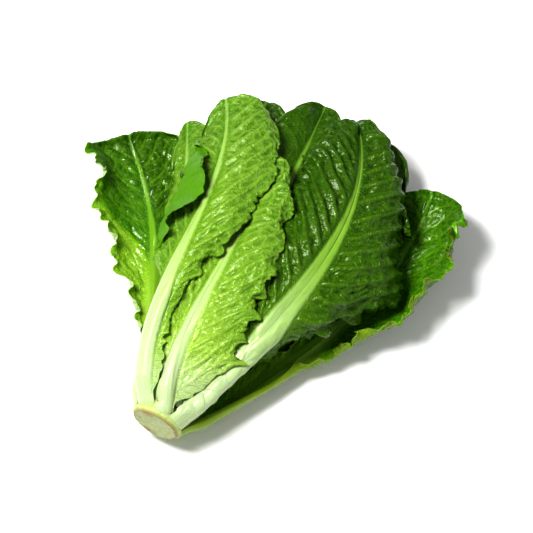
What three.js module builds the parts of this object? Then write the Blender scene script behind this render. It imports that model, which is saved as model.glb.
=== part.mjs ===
// A romaine lettuce head, cut at its stem and lying on its side, with its leaves fanned out.
//
// Millimetres, +Z up from the surface that the head lies on. While it is drawn, the middle of
// the cut face is at x 0 and y 0, and the leaves run out along +Y. The finished group is then
// moved so that its origin is the bottom centre of the whole head.
//
// Each leaf is one closed solid, its blade and midrib together. It grows from the stem core in
// one of four rings, and the leaves are laid down one by one, from the lowest to the topmost:
// where a leaf would lie in one below it, it is lifted until it rests on it.
import * as THREE from "three";

// Driving dimensions
const AXIS_HEIGHT = 33;
const CUT_RADIUS = 19.5;
const BLADE_THICKNESS = 1.1;
const FOOT_THICKNESS = 2.4;
const CORE_GAP = 0.35;
const REST_GAP = 0.8;
const PRESSED_FLAT = 1.2;
const THINNEST = 0.7;

// The stem core's outline: distance from the cut face, then radius. It is turned about its axis.
const CORE_OUTLINE = [
  [0, 0],
  [0, CUT_RADIUS - 1.2],
  [0.9, CUT_RADIUS],
  [4.5, 21.2],
  [6.6, 20.6],
  [7.2, 20],
  [12, 18.4],
  [16, 14.8],
  [27, 13.4],
  [30, 10.6],
  [39, 9.6],
  [42, 6.6],
  [49, 4.2],
  [52, 0],
];
const CORE_SIDES = 28;

// The rings of leaves, from the outermost to the heart: where each stands on the core, half the
// width and the thickness of a midrib at its foot, and the rows of points along a leaf and the
// columns on each side of its midrib: on the ridge, then on the blade.
const RINGS = {
  outer: {
    along: 8.2, radius: 20, stalk: 8.2, rib: 6.6,
    rows: 23, onRib: 2, onBlade: [3, 3], colour: 0x4f9a26,
  },
  second: {
    along: 17, radius: 14.7, stalk: 6.3, rib: 3.9,
    rows: 19, onRib: 2, onBlade: [3, 3], colour: 0x62ab33,
  },
  third: {
    along: 30.5, radius: 10.6, stalk: 5.4, rib: 2.6,
    rows: 15, onRib: 1, onBlade: [3, 3], colour: 0x86c24e,
  },
  heart: {
    along: 42.5, radius: 6.6, stalk: 4.2, rib: 1.8,
    rows: 12, onRib: 1, onBlade: [2, 2], colour: 0xb4d67c,
  },
};

// The leaves, from the lowest to the topmost. turn is where the foot stands round the core, with
// 0 at the right and 90 at the top. reach, bend and tip draw the midrib from the foot outwards.
// face is the way the inner side of the leaf looks, past its middle and at its tip, as degrees
// from straight up, towards the right. Pairs are for the blade's left and right halves: half is
// the widest, curl how far it turns towards the inner side at its edge, in degrees, and arch how
// far it bulges the other way. wave is the height of the ruffled edge, which has its beats along
// the leaf and starts at a share of one.
const LEAVES = [
  {
    name: "leaf_under_left", ring: "outer", turn: 240,
    reach: [-24, 80, 1], bend: [-54, 180, -2], tip: [-72, 258, 6], face: [0, 0],
    half: [40, 50], curl: [38, 10], arch: [0, 3], wave: 4, beats: 5, start: 0.1,
  },
  {
    name: "leaf_under_right", ring: "outer", turn: 290,
    reach: [15, 80, 1], bend: [42, 180, -2], tip: [58, 266, 6], face: [0, 0],
    half: [48, 44], curl: [12, 34], arch: [3, 0], wave: 4, beats: 6, start: 0.4,
  },
  {
    name: "leaf_far_left", ring: "outer", turn: 190,
    reach: [-46, 76, 22], bend: [-68, 150, 6], tip: [-141, 212, 26], face: [10, 14],
    half: [46, 46], curl: [36, 30], arch: [4, 2], wave: 5, beats: 4, start: 0.7,
    from: [0.2, 0.05], widest: [0.8, 0.8], blunt: [0.86, 0.85], rounding: [0, 0.1],
  },
  {
    name: "leaf_far_right", ring: "outer", turn: 340,
    reach: [46, 60, 20], bend: [114, 184, 3], tip: [93, 281, 30], face: [-14, -20],
    half: [46, 55], curl: [30, 34], arch: [4, 4], wave: 5, beats: 5, start: 0.2,
    from: [0.05, 0.3], widest: [0.6, 0.74], blunt: [0.7, 0.75], rounding: [0.1, 0.1],
  },
  {
    name: "leaf_second_low_left", ring: "second", turn: 225,
    reach: [-18, 90, 12], bend: [-56, 160, 12], tip: [-84, 222, 22], face: [8, 12],
    half: [20, 42], curl: [30, 30], arch: [1, 3], wave: 4, beats: 5, start: 0.55,
  },
  {
    name: "leaf_second_low_right", ring: "second", turn: 310,
    reach: [26, 90, 12], bend: [66, 180, 12], tip: [70, 258, 24], face: [-8, -16],
    half: [42, 34], curl: [30, 34], arch: [3, 3], wave: 4, beats: 6, start: 0.85,
  },
  {
    name: "leaf_third_low", ring: "third", turn: 265,
    reach: [-4, 90, 20], bend: [-14, 160, 18], tip: [-16, 228, 26], face: [0, 0],
    half: [34, 34], curl: [36, 36], arch: [2, 2], wave: 3, beats: 5, start: 0.3,
  },
  {
    name: "heart_leaf_low", ring: "heart", turn: 250,
    reach: [4, 90, 26], bend: [10, 130, 26], tip: [12, 176, 32], face: [0, 10],
    half: [22, 22], curl: [50, 50], arch: [1, 1], wave: 2, beats: 4, start: 0.1,
  },
  {
    name: "heart_leaf_high", ring: "heart", turn: 70,
    reach: [-2, 90, 38], bend: [-8, 130, 40], tip: [-10, 182, 38], face: [180, 180],
    half: [24, 24], curl: [50, 50], arch: [1, 1], wave: 2, beats: 4, start: 0.6,
  },
  {
    name: "leaf_third_left", ring: "third", turn: 170,
    reach: [-24, 90, 38], bend: [-44, 160, 34], tip: [-64, 232, 34], face: [60, 30],
    half: [20, 30], curl: [34, 24], arch: [2, 3], wave: 4, beats: 5, start: 0.25,
  },
  {
    name: "leaf_third_right", ring: "third", turn: 5,
    reach: [30, 90, 38], bend: [48, 170, 36], tip: [48, 244, 36], face: [-50, -30],
    half: [34, 32], curl: [30, 30], arch: [3, 3], wave: 4, beats: 5, start: 0.5,
  },
  {
    name: "leaf_third_high", ring: "third", turn: 85,
    reach: [2, 90, 50], bend: [-4, 170, 54], tip: [-8, 262, 46], face: [180, 172],
    half: [34, 38], curl: [30, 34], arch: [3, 3], wave: 5, beats: 5, start: 0.8,
  },
  {
    name: "leaf_second_left", ring: "second", turn: 163,
    reach: [-32, 84, 48], bend: [-58, 160, 40], tip: [-103, 240, 34], face: [160, 170],
    half: [15, 40], curl: [26, 24], arch: [2, 4], wave: 4, beats: 5, start: 0.15,
  },
  {
    name: "leaf_second_right", ring: "second", turn: 14,
    reach: [40, 84, 48], bend: [72, 200, 44], tip: [40, 298, 30], face: [-155, -165],
    half: [42, 44], curl: [26, 30], arch: [4, 4], wave: 6, beats: 7, start: 0.45,
  },
  {
    name: "leaf_second_high_left", ring: "second", turn: 113,
    reach: [-20, 84, 56], bend: [-40, 190, 58], tip: [-55, 281, 44], face: [175, 170],
    half: [40, 42], curl: [30, 24], arch: [4, 4], wave: 5, beats: 6, start: 0.65,
  },
  {
    name: "leaf_second_high_right", ring: "second", turn: 64,
    reach: [12, 84, 56], bend: [4, 190, 62], tip: [-11, 297, 48], face: [-175, -170],
    half: [42, 44], curl: [24, 30], arch: [4, 4], wave: 5, beats: 6, start: 0.95,
  },
  {
    name: "leaf_top_right", ring: "outer", turn: 35,
    reach: [48, 94, 68], bend: [86, 215, 82], tip: [16, 298, 46], face: [-172, -165],
    half: [48, 64], curl: [24, 50], arch: [8, 9], wave: 6, beats: 5, start: 0.35,
    from: [0.05, 0.26], widest: [0.7, 0.6], blunt: [0.75, 0.28], rounding: [0.14, 0.24],
  },
  {
    name: "leaf_top_middle", ring: "outer", turn: 84, along: 10.5,
    reach: [-22, 75, 66], bend: [0, 152, 78], tip: [-23, 229, 60], face: [-175, -172],
    half: [28, 46], curl: [20, 24], arch: [3, 6], wave: 6, beats: 6, start: 0.05,
    from: [0.05, 0], widest: [0.6, 0.28], blunt: [0.6, 0.5],
  },
  {
    name: "leaf_top_left", ring: "outer", turn: 134, along: 10.5,
    reach: [-64, 84, 74], bend: [-24, 184, 84], tip: [-80, 260, 62], face: [165, 176],
    half: [27, 47], curl: [24, 34], arch: [0, 6], wave: 5, beats: 5, start: 0.5,
    from: [0.3, 0.2], widest: [0.5, 0.86], blunt: [0.75, 0.85], onBlade: [6, 4],
    lip: [165, 0], lipWidth: 27, lipSpan: [0.44, 0.9],
  },
];

// How a leaf is drawn where its entry doesn't say, as shares of its length or of its width: where
// its blade begins to open and is widest, how wide it still is at the tip, how far its corners
// stand back there, and the lip where its edge turns over: its angle, width and span.
const DRAWN = {
  from: [0.05, 0.05],
  widest: [0.7, 0.7],
  blunt: [0.6, 0.6],
  rounding: [0.17, 0.17],
  lip: [0, 0],
  lipWidth: 0,
  lipSpan: [0.4, 0.9],
};
const LIP_FOLD = 0.09;
const LIP_FULL_WIDTH = 8;
const TEETH = { from: 0.14, to: 0.62, fade: 0.12, size: 0.07 };
const SECTION_STEPS = 24;

// How a leaf settles on those below it: how far apart it is felt, the rows held by the core, how
// many times it is raised and relaxed, and how stiff it is from 0, limp, to 1.
const SETTLING = { spacing: 1.3, heldRows: 1, passes: 12, stiffness: 0.5, enough: 0.02 };

const mix = THREE.MathUtils.lerp;
const ease = THREE.MathUtils.smoothstep;
const rad = THREE.MathUtils.degToRad;
const UP = new THREE.Vector3(0, 0, 1);

// The midrib's line, from the foot on the core to the tip.
function midrib(leaf) {
  const r = leaf.radius + CORE_GAP;
  const foot = new THREE.Vector3(
    r * Math.cos(rad(leaf.turn)),
    leaf.along,
    AXIS_HEIGHT + r * Math.sin(rad(leaf.turn)),
  );
  const [reach, bend, tip] = [leaf.reach, leaf.bend, leaf.tip].map((p) => new THREE.Vector3(...p));
  return new THREE.CubicBezierCurve3(foot, reach, bend, tip);
}

// The way the inner side looks at s along the leaf: at the core from its foot, then as face says.
function facing(leaf, s) {
  const atFoot = THREE.MathUtils.radToDeg(
    Math.atan2(-Math.cos(rad(leaf.turn)), -Math.sin(rad(leaf.turn))),
  );
  const [middle, tip] = leaf.face;
  const nearest = atFoot + 360 * Math.round((middle - atFoot) / 360);
  const unrolled = mix(nearest, middle, ease(s, 0.03, 0.42));
  return rad(mix(unrolled, tip, ease(s, 0.5, 1)));
}

// How wide the lip on one side is at s: it comes to a point at both ends.
function lipWidth(leaf, s, side) {
  if (!leaf.lip[side]) return 0;
  const [from, to] = leaf.lipSpan;
  const share = THREE.MathUtils.clamp((s - from) / (to - from), 0, 1);
  return leaf.lipWidth * Math.sin(Math.PI * share) ** 0.8;
}

// Half the blade's width at s, on one side, without its lip.
function bladeWidth(leaf, s, side) {
  const stalk = leaf.stalk * mix(1, 0.8, ease(s, 0, 0.3));
  const widest = leaf.widest[side];
  const opening = ease(s, leaf.from[side], widest) ** 0.85;
  const closing = s > widest ? ((s - widest) / (1 - widest)) ** 2 : 0;
  return (stalk + (leaf.half[side] - stalk) * opening) * mix(1, leaf.blunt[side], closing);
}

// All of the width on one side at s, and the share of it at which the lip folds over.
function halfWidth(leaf, s, side) {
  return bladeWidth(leaf, s, side) + lipWidth(leaf, s, side);
}
function foldShare(leaf, s, side) {
  return bladeWidth(leaf, s, side) / halfWidth(leaf, s, side);
}

// How far the blade has turned towards its inner side at a share of the half width: it curls
// evenly, and its lip turns the other way.
function turnedAt(leaf, s, side, share) {
  const wrap = Math.min(halfWidth(leaf, s, side) / (leaf.radius + CORE_GAP), 0.5);
  const curl = mix(wrap, rad(leaf.curl[side]), ease(s, 0.06, 0.4));
  const fold = foldShare(leaf, s, side);
  const lip = rad(leaf.lip[side]) * ease(share, fold - LIP_FOLD, fold + LIP_FOLD);
  return curl * share - lip * Math.min(1, lipWidth(leaf, s, side) / LIP_FULL_WIDTH);
}

// The section across the leaf at s, on one side: how far out a share of the half width is, how
// far it has risen to the inner side, and which way it has turned.
function sectionAt(leaf, s, side, share) {
  const width = halfWidth(leaf, s, side) * (1 + toothAt(leaf, s) * share ** 6);
  const step = share / SECTION_STEPS;
  let [out, rise] = [0, 0];
  for (let k = 0; k < SECTION_STEPS; k++) {
    const turned = turnedAt(leaf, s, side, (k + 0.5) * step);
    out += width * step * Math.cos(turned);
    rise += width * step * Math.sin(turned);
  }
  return { out, rise, turned: turnedAt(leaf, s, side, share) };
}

// A point on the inner face: s runs from foot to tip, and t from -1 at the left edge to 1 at
// the right edge, as seen from above.
function facePoint(leaf, line, s, t) {
  const side = t < 0 ? 0 : 1;
  const share = Math.abs(t);
  const at = s - leaf.rounding[side] * s ** 5 * (1 - Math.sqrt(1 - 0.92 * t * t));
  const centre = line.getPointAt(at);
  const along = line.getTangentAt(at);
  const up = UP.clone().addScaledVector(along, -UP.dot(along)).normalize();
  const right = new THREE.Vector3().crossVectors(along, up);
  const look = facing(leaf, at);
  const inward = up.clone().multiplyScalar(Math.cos(look)).addScaledVector(right, Math.sin(look));
  const across = new THREE.Vector3().crossVectors(along, inward).multiplyScalar(side ? 1 : -1);
  if (Math.abs(leaf.face[0]) > 90) across.negate();

  const { out, rise, turned } = sectionAt(leaf, s, side, share);
  const bulge = leaf.arch[side] * Math.sin(Math.PI * share) * ease(s, 0.15, 0.5);
  const phase = 2 * Math.PI * (leaf.beats * s + leaf.start + 0.37 * side);
  const ruffle = leaf.wave * share ** 3 * Math.sin(phase) * ease(s, 0.22, 0.5);
  const raised = ruffle - bulge;
  return centre
    .addScaledVector(across, out - raised * Math.sin(turned))
    .addScaledVector(inward, rise + raised * Math.cos(turned));
}

// The toothed lower edge: every other row of points stands out.
function toothAt(leaf, s) {
  const row = Math.round(s * (leaf.rows - 1));
  const starts = ease(s, TEETH.from, TEETH.from + TEETH.fade);
  const ends = ease(s, TEETH.to - TEETH.fade, TEETH.to);
  return TEETH.size * (starts - ends) * (row % 2 ? 1 : -1) * (1.6 - s);
}

// The columns of points on one side of a leaf at s, as shares of the half width. The inner ones
// follow the midrib's side, so that it stands out as a rounded ridge.
function columnShares(leaf, s, side) {
  const ribShare = Math.min(ribHalf(leaf, s) / halfWidth(leaf, s, side), 0.92);
  const onRib = leaf.onRib > 1 ? [0.55 * ribShare, ribShare] : [ribShare];
  const steps = leaf.onBlade[side];
  const even = Array.from({ length: steps }, (_, i) => mix(ribShare, 1, (i + 1) / steps));
  if (!leaf.lip[side]) return [...onRib, ...even];
  const fold = Math.min(foldShare(leaf, s, side), 0.86);
  const onLip = [fold - 0.09, fold - 0.02, fold + 0.05, (fold + 1) / 2, 1];
  return [...onRib, mix(ribShare, fold, 0.5), ...onLip];
}

// Half the midrib's width, and how far it stands out of the blade's outer face.
function ribHalf(leaf, s) {
  return leaf.stalk * mix(0.94, 0.16, s ** 0.8);
}
function ribHeight(leaf, s) {
  return leaf.rib * (1 - s) ** 1.2 * mix(FOOT_THICKNESS / leaf.rib, 1, ease(s, 0, 0.07));
}
function ribRound(distance, half) {
  const share = Math.min(distance / half, 1);
  return Math.sqrt(1 - share * share);
}

// Rows of points on the inner face, each with how thick the leaf is there.
function drawLeaf(leaf) {
  const line = midrib(leaf);
  const grid = [];
  for (let i = 0; i < leaf.rows; i++) {
    const s = i / (leaf.rows - 1);
    const left = columnShares(leaf, s, 0).map((share) => -share).reverse();
    const shares = [...left, 0, ...columnShares(leaf, s, 1)];
    grid.push(
      shares.map((t) => {
        const half = halfWidth(leaf, s, t < 0 ? 0 : 1);
        const ridge = ribHeight(leaf, s) * ribRound(Math.abs(t) * half, ribHalf(leaf, s));
        return { point: facePoint(leaf, line, s, t), thickness: BLADE_THICKNESS + ridge };
      }),
    );
  }
  return grid;
}

function innerFace(grid) {
  return grid.map((row) => row.map(({ point }) => point));
}

// The outer face: each point moved through the leaf's thickness, away from its inner side.
function outerFace(leaf, grid) {
  const looksUp = Math.abs(leaf.face[0]) <= 90;
  const last = { row: grid.length - 1, column: grid[0].length - 1 };
  return grid.map((row, i) =>
    row.map(({ point, thickness }, j) => {
      const before = grid[Math.max(i - 1, 0)][j].point;
      const after = grid[Math.min(i + 1, last.row)][j].point;
      const onLeft = row[Math.max(j - 1, 0)].point;
      const onRight = row[Math.min(j + 1, last.column)].point;
      const inward = new THREE.Vector3()
        .crossVectors(onRight.clone().sub(onLeft), after.clone().sub(before))
        .normalize()
        .multiplyScalar(looksUp ? 1 : -1);
      return point.clone().addScaledVector(inward, -thickness);
    }),
  );
}

// The heights of all that has been laid down so far, on a square grid of cells round the foot.
class Pile {
  constructor(cell = 1.5, reach = 400) {
    this.cell = cell;
    this.reach = reach;
    this.side = Math.ceil((2 * reach) / cell);
    this.top = new Float64Array(this.side * this.side);
  }

  index({ x, y }) {
    const column = Math.round((x + this.reach) / this.cell);
    const row = Math.round((y + this.reach) / this.cell);
    return row * this.side + column;
  }

  // The lowest that a point may lie here: clear of the pile, or a little way into the surface
  // that the head rests on, where it is pressed flat afterwards.
  lowestFor(point) {
    const top = this.top[this.index(point)];
    return top > 0 ? top + REST_GAP : -PRESSED_FLAT;
  }

  // A point of a leaf that now lies here, which also fills the cells beside its own.
  add(point) {
    const middle = this.index(point);
    for (const up of [-this.side, 0, this.side]) {
      for (const over of [-1, 0, 1]) {
        const cell = middle + up + over;
        this.top[cell] = Math.max(this.top[cell], point.z);
      }
    }
  }
}

// The two triangles of each four-cornered patch of a face, as rows and columns of their corners.
function* trianglesOf(face) {
  for (let i = 0; i + 1 < face.length; i++) {
    for (let j = 0; j + 1 < face[0].length; j++) {
      yield [[i, j], [i, j + 1], [i + 1, j + 1]];
      yield [[i, j], [i + 1, j], [i + 1, j + 1]];
    }
  }
}

// Calls visit with points spread over a face, each with its triangle's corners and their weights.
function walk(face, visit) {
  const point = new THREE.Vector3();
  for (const corners of trianglesOf(face)) {
    const [a, b, c] = corners.map(([row, column]) => face[row][column]);
    const longest = Math.max(a.distanceTo(b), b.distanceTo(c), a.distanceTo(c));
    const steps = Math.ceil(longest / SETTLING.spacing);
    for (let m = 0; m <= steps; m++) {
      for (let n = 0; n <= steps - m; n++) {
        const weights = [1 - (m + n) / steps, m / steps, n / steps];
        point.copy(a).multiplyScalar(weights[0]);
        point.addScaledVector(b, weights[1]).addScaledVector(c, weights[2]);
        visit(point, corners, weights);
      }
    }
  }
}

// Raises the corners round each point that is too low, by no more than brings it clear of the
// pile, and returns how much the lowest point lacked.
function raise(leaf, grid, pile) {
  const more = grid.map((row) => row.map(() => 0));
  let lacking = 0;
  for (const face of [innerFace(grid), outerFace(leaf, grid)]) {
    walk(face, (point, corners, weights) => {
      const need = pile.lowestFor(point) - point.z;
      if (need <= 0 || corners[0][0] < SETTLING.heldRows) return;
      lacking = Math.max(lacking, need);
      const spread = weights.reduce((sum, weight) => sum + weight * weight, 0);
      corners.forEach(([row, column], k) => {
        more[row][column] = Math.max(more[row][column], (need * weights[k]) / spread);
      });
    });
  }
  grid.forEach((row, i) => row.forEach(({ point }, j) => (point.z += more[i][j])));
  return lacking;
}

// Lets each lifted point follow the lifts round it, so that a leaf bends rather than creases.
function relax(grid, drawn) {
  const lift = grid.map((row, i) => row.map(({ point }, j) => point.z - drawn[i][j]));
  for (let i = SETTLING.heldRows; i < grid.length; i++) {
    for (let j = 0; j < grid[i].length; j++) {
      const round = [[i - 1, j], [i + 1, j], [i, j - 1], [i, j + 1]]
        .map(([row, column]) => lift[row]?.[column])
        .filter((value) => value !== undefined);
      const mean = round.reduce((sum, value) => sum + value, 0) / round.length;
      const relaxed = mix(lift[i][j], mean, SETTLING.stiffness);
      grid[i][j].point.z = drawn[i][j] + Math.max(0, relaxed);
    }
  }
}

// Lifts a leaf straight up, point by point, until it rests on the pile.
function settle(leaf, grid, pile) {
  const drawn = grid.map((row) => row.map(({ point }) => point.z));
  for (let pass = 0; pass < SETTLING.passes; pass++) {
    raise(leaf, grid, pile);
    relax(grid, drawn);
  }
  let lacking = Infinity;
  for (let pass = 0; pass < SETTLING.passes && lacking > SETTLING.enough; pass++) {
    lacking = raise(leaf, grid, pile);
  }
}

// One closed mesh from the two faces and the rim between them. Both faces are split into
// triangles alike, so that they never cross.
function leafGeometry(inner, outer) {
  const rows = inner.length;
  const columns = inner[0].length;
  const at = (face, i, j) => face * rows * columns + i * columns + j;
  const triangles = [];
  for (const [[i, j], [k, l], [m, n]] of trianglesOf(inner)) {
    const turnedOver = k > i;
    const corners = [[i, j], [k, l], [m, n]];
    if (turnedOver) corners.reverse();
    triangles.push(...corners.map(([row, column]) => at(0, row, column)));
    triangles.push(...corners.reverse().map(([row, column]) => at(1, row, column)));
  }
  const rim = (a, b, c, d) => triangles.push(a, b, c, a, c, d);
  const right = columns - 1;
  const end = rows - 1;
  for (let i = 0; i < end; i++) {
    rim(at(0, i, 0), at(0, i + 1, 0), at(1, i + 1, 0), at(1, i, 0));
    rim(at(0, i + 1, right), at(0, i, right), at(1, i, right), at(1, i + 1, right));
  }
  for (let j = 0; j < right; j++) {
    rim(at(0, 0, j + 1), at(0, 0, j), at(1, 0, j), at(1, 0, j + 1));
    rim(at(0, end, j), at(0, end, j + 1), at(1, end, j + 1), at(1, end, j));
  }
  return facingOut([...inner.flat(), ...outer.flat()], triangles);
}

// A geometry whose faces point out of the solid, whichever way round its triangles came.
function facingOut(points, triangles) {
  let volume = 0;
  const normal = new THREE.Vector3();
  for (let k = 0; k < triangles.length; k += 3) {
    const [a, b, c] = triangles.slice(k, k + 3).map((index) => points[index]);
    volume += a.dot(normal.crossVectors(b, c));
  }
  if (volume < 0) triangles.reverse();
  const geometry = new THREE.BufferGeometry().setFromPoints(points);
  geometry.setIndex(triangles);
  geometry.computeVertexNormals();
  return geometry;
}

// Presses what reaches into the surface below flat on it, and keeps the leaf's thickness there.
function pressFlat(inner, outer) {
  for (const point of outer.flat()) point.z = Math.max(point.z, 0);
  for (const point of inner.flat()) point.z = Math.max(point.z, THINNEST);
}

function material(color, roughness) {
  return new THREE.MeshStandardMaterial({ color, roughness, metalness: 0 });
}

// The stem core, turned about the head's own axis.
function stemCore() {
  const outline = CORE_OUTLINE.map(([along, radius]) => new THREE.Vector2(radius, along));
  const mesh = new THREE.Mesh(new THREE.LatheGeometry(outline, CORE_SIDES), material(0xdfe3c0, 0.6));
  mesh.name = "stem_core";
  mesh.position.z = AXIS_HEIGHT;
  return mesh;
}

// One leaf, drawn, settled on the pile and added to it.
function layLeaf(leaf, pile) {
  const grid = drawLeaf(leaf);
  settle(leaf, grid, pile);
  const inner = innerFace(grid);
  const outer = outerFace(leaf, grid);
  pressFlat(inner, outer);
  for (const face of [inner, outer]) walk(face, (point) => pile.add(point));
  const mesh = new THREE.Mesh(leafGeometry(inner, outer), material(leaf.colour, 0.45));
  mesh.name = leaf.name;
  return mesh;
}

function buildHead() {
  const head = new THREE.Group();
  const pile = new Pile();
  head.add(stemCore());
  for (const leaf of LEAVES) {
    head.add(layLeaf({ ...DRAWN, ...RINGS[leaf.ring], ...leaf }, pile));
  }
  const box = new THREE.Box3().setFromObject(head, true);
  const centre = box.getCenter(new THREE.Vector3());
  head.position.set(-centre.x, -centre.y, -box.min.z);
  return head;
}

export default buildHead();
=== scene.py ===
"""A romaine lettuce head lying on its side, dressed for its picture.

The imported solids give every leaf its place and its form. Each leaf is drawn again here from the
same named values with a fine mesh, so that its midrib, veins, puckers, teeth and ruffled margin
are real shape. Sizes are in millimetres until a mesh is placed, and angles are in degrees.
"""

import logging
import math
from collections.abc import Callable
from dataclasses import dataclass, field
from enum import Enum, IntEnum

import bmesh
import bpy
import numpy as np
from mathutils import Matrix, Vector
from mathutils.kdtree import KDTree


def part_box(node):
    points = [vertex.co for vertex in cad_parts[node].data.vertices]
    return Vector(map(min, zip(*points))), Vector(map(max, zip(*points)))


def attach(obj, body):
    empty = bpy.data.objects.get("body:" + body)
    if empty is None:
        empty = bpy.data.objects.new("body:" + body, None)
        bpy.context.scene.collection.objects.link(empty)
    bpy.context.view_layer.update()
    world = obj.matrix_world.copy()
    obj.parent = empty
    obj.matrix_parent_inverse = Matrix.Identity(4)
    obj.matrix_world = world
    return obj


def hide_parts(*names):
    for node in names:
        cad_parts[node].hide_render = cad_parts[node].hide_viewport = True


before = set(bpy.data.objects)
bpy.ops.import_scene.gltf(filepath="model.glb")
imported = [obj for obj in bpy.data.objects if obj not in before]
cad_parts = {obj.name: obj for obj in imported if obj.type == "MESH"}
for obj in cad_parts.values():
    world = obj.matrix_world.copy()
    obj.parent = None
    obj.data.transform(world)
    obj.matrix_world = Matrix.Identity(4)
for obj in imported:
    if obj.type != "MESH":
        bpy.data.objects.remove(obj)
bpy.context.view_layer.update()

LOG = logging.getLogger("romaine")
MM = 0.001
UP = np.array([0.0, 0.0, 1.0])

AXIS_HEIGHT = 33.0
CORE_GAP = 0.35
BLADE_THICKNESS = 0.85
MARGIN_THICKNESS = 0.5
FOOT_THICKNESS = 2.4
FOOT_DIP = 3.6
VEIN_GAP = 15.0
BRANCH_GAP = 11.0

Pair = tuple[float, float]
Point = tuple[float, float, float]
Colour = tuple[float, float, float, float]

HASH_X, HASH_Y, HASH_SEED, HASH_MIX = 374761393, 668265263, 974634777, 1274126177
WHOLE, SHARE_BITS = 0xFFFFFFFF, 0xFFFFFF
CELL_MARGIN, CELL_SPREAD, CELL_SEED = 0.12, 0.76, 7


class Grain(Enum):
    """How far apart the points of a leaf's mesh are, in millimetres."""

    FINE = 1.05
    MEDIUM = 1.7
    COARSE = 2.8


class Ring(Enum):
    """The rings of leaves round the core, from the outermost to the heart."""

    OUTER = 1
    SECOND = 2
    THIRD = 3
    HEART = 4


class Noise(IntEnum):
    """Which of a leaf's random patterns is drawn, as a number added to its seed."""

    WARP = 0
    FINE_WARP = 1
    DRIFT = 2
    WIDE_NET = 3
    NARROW_NET = 4
    SWELL = 5
    BEND = 9
    FINE_BEND = 10
    RUFFLE = 11
    FINE_DRIFT = 12
    CREASE = 13
    PLEAT = 15
    SMALL_TEETH = 21
    LARGE_TEETH = 22
    LOBES = 23
    FRILLS = 24


@dataclass(frozen=True)
class RingSizes:
    """What the leaves of a ring share.

    Args:
        along: Where the feet stand, from the cut face.
        radius: How far the feet stand from the core's axis.
        stalk: Half a midrib's width at its foot.
        rib: How far a midrib stands out at its foot.
        rows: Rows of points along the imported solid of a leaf.
        on_rib: Columns of its points on each side of the ridge.
        slot: The record's material slot.
    """

    along: float
    radius: float
    stalk: float
    rib: float
    rows: int
    on_rib: int
    slot: str


RING_SIZES = {
    Ring.OUTER: RingSizes(8.2, 20, 8.2, 6.6, 23, 2, "leaf_outer"),
    Ring.SECOND: RingSizes(17, 14.7, 6.3, 3.9, 19, 2, "leaf_inner"),
    Ring.THIRD: RingSizes(30.5, 10.6, 5.4, 2.6, 15, 1, "leaf_inner"),
    Ring.HEART: RingSizes(42.5, 6.6, 4.2, 1.8, 12, 1, "leaf_heart"),
}


def ease(value: np.ndarray, low: float, high: float) -> np.ndarray:
    """A smooth step from 0 at low to 1 at high."""
    share = np.clip((np.asarray(value, float) - low) / (high - low), 0.0, 1.0)
    return share * share * (3.0 - 2.0 * share)


def mix(a: float, b: float, share: np.ndarray) -> np.ndarray:
    """The value at a share of the way from a to b."""
    return a + (b - a) * share


def unit(vectors: np.ndarray) -> np.ndarray:
    """The vectors, each made one long."""
    return vectors / np.maximum(np.linalg.norm(vectors, axis=-1, keepdims=True), 1e-9)


def hashed(x: np.ndarray, y: np.ndarray, seed: int) -> np.ndarray:
    """An even random share for each whole-numbered place, the same in every run."""
    mixed = (x.astype(np.int64) * HASH_X + y.astype(np.int64) * HASH_Y + seed * HASH_SEED) & WHOLE
    mixed = ((mixed ^ (mixed >> 13)) * HASH_MIX) & WHOLE
    return ((mixed ^ (mixed >> 16)) & SHARE_BITS) / float(SHARE_BITS)


def rolling(x: np.ndarray, y: np.ndarray, seed: int) -> np.ndarray:
    """Smooth noise from -1 to 1, whose hills are about one apart."""
    left, low = np.floor(x), np.floor(y)
    across, upward = ease(x - left, 0, 1), ease(y - low, 0, 1)
    corner = [[hashed(left + i, low + j, seed) for i in (0, 1)] for j in (0, 1)]
    bottom = mix(corner[0][0], corner[0][1], across)
    top = mix(corner[1][0], corner[1][1], across)
    return 2.0 * mix(bottom, top, upward) - 1.0


def cell_edges(x: np.ndarray, y: np.ndarray, seed: int) -> np.ndarray:
    """How far each point is from the border of its cell in an irregular net of cells about one wide.

    Args:
        x: Places across the net.
        y: Places along the net.
        seed: Which net.

    Returns:
        The difference between the distances to the two nearest cell centres.
    """
    nearest = np.full(x.shape, np.inf)
    second = np.full(x.shape, np.inf)
    for i in (-1, 0, 1):
        for j in (-1, 0, 1):
            cell_x, cell_y = np.floor(x) + i, np.floor(y) + j
            centre_x = cell_x + CELL_MARGIN + CELL_SPREAD * hashed(cell_x, cell_y, seed)
            centre_y = cell_y + CELL_MARGIN + CELL_SPREAD * hashed(cell_x, cell_y, seed + CELL_SEED)
            distance = np.hypot(x - centre_x, y - centre_y)
            second = np.minimum(second, np.maximum(nearest, distance))
            nearest = np.minimum(nearest, distance)
    return second - nearest


def blurred(values: np.ndarray, passes: int) -> np.ndarray:
    """A grid of values, each pass of which takes in a little of its neighbours."""
    for _ in range(passes):
        padded = np.pad(values, 1, mode="edge")
        values = (padded[:-2, 1:-1] + 2 * padded[1:-1, 1:-1] + padded[2:, 1:-1]) / 4
        padded = np.pad(values, 1, mode="edge")
        values = (padded[1:-1, :-2] + 2 * padded[1:-1, 1:-1] + padded[1:-1, 2:]) / 4
    return values


def widened(values: np.ndarray, passes: int) -> np.ndarray:
    """A grid of values, each pass of which spreads the highest ones to their neighbours."""
    for _ in range(passes):
        padded = np.pad(values, 1, mode="edge")
        values = np.maximum(values, np.maximum(padded[:-2, 1:-1], padded[2:, 1:-1]))
        padded = np.pad(values, 1, mode="edge")
        values = np.maximum(values, np.maximum(padded[1:-1, :-2], padded[1:-1, 2:]))
    return values


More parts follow.
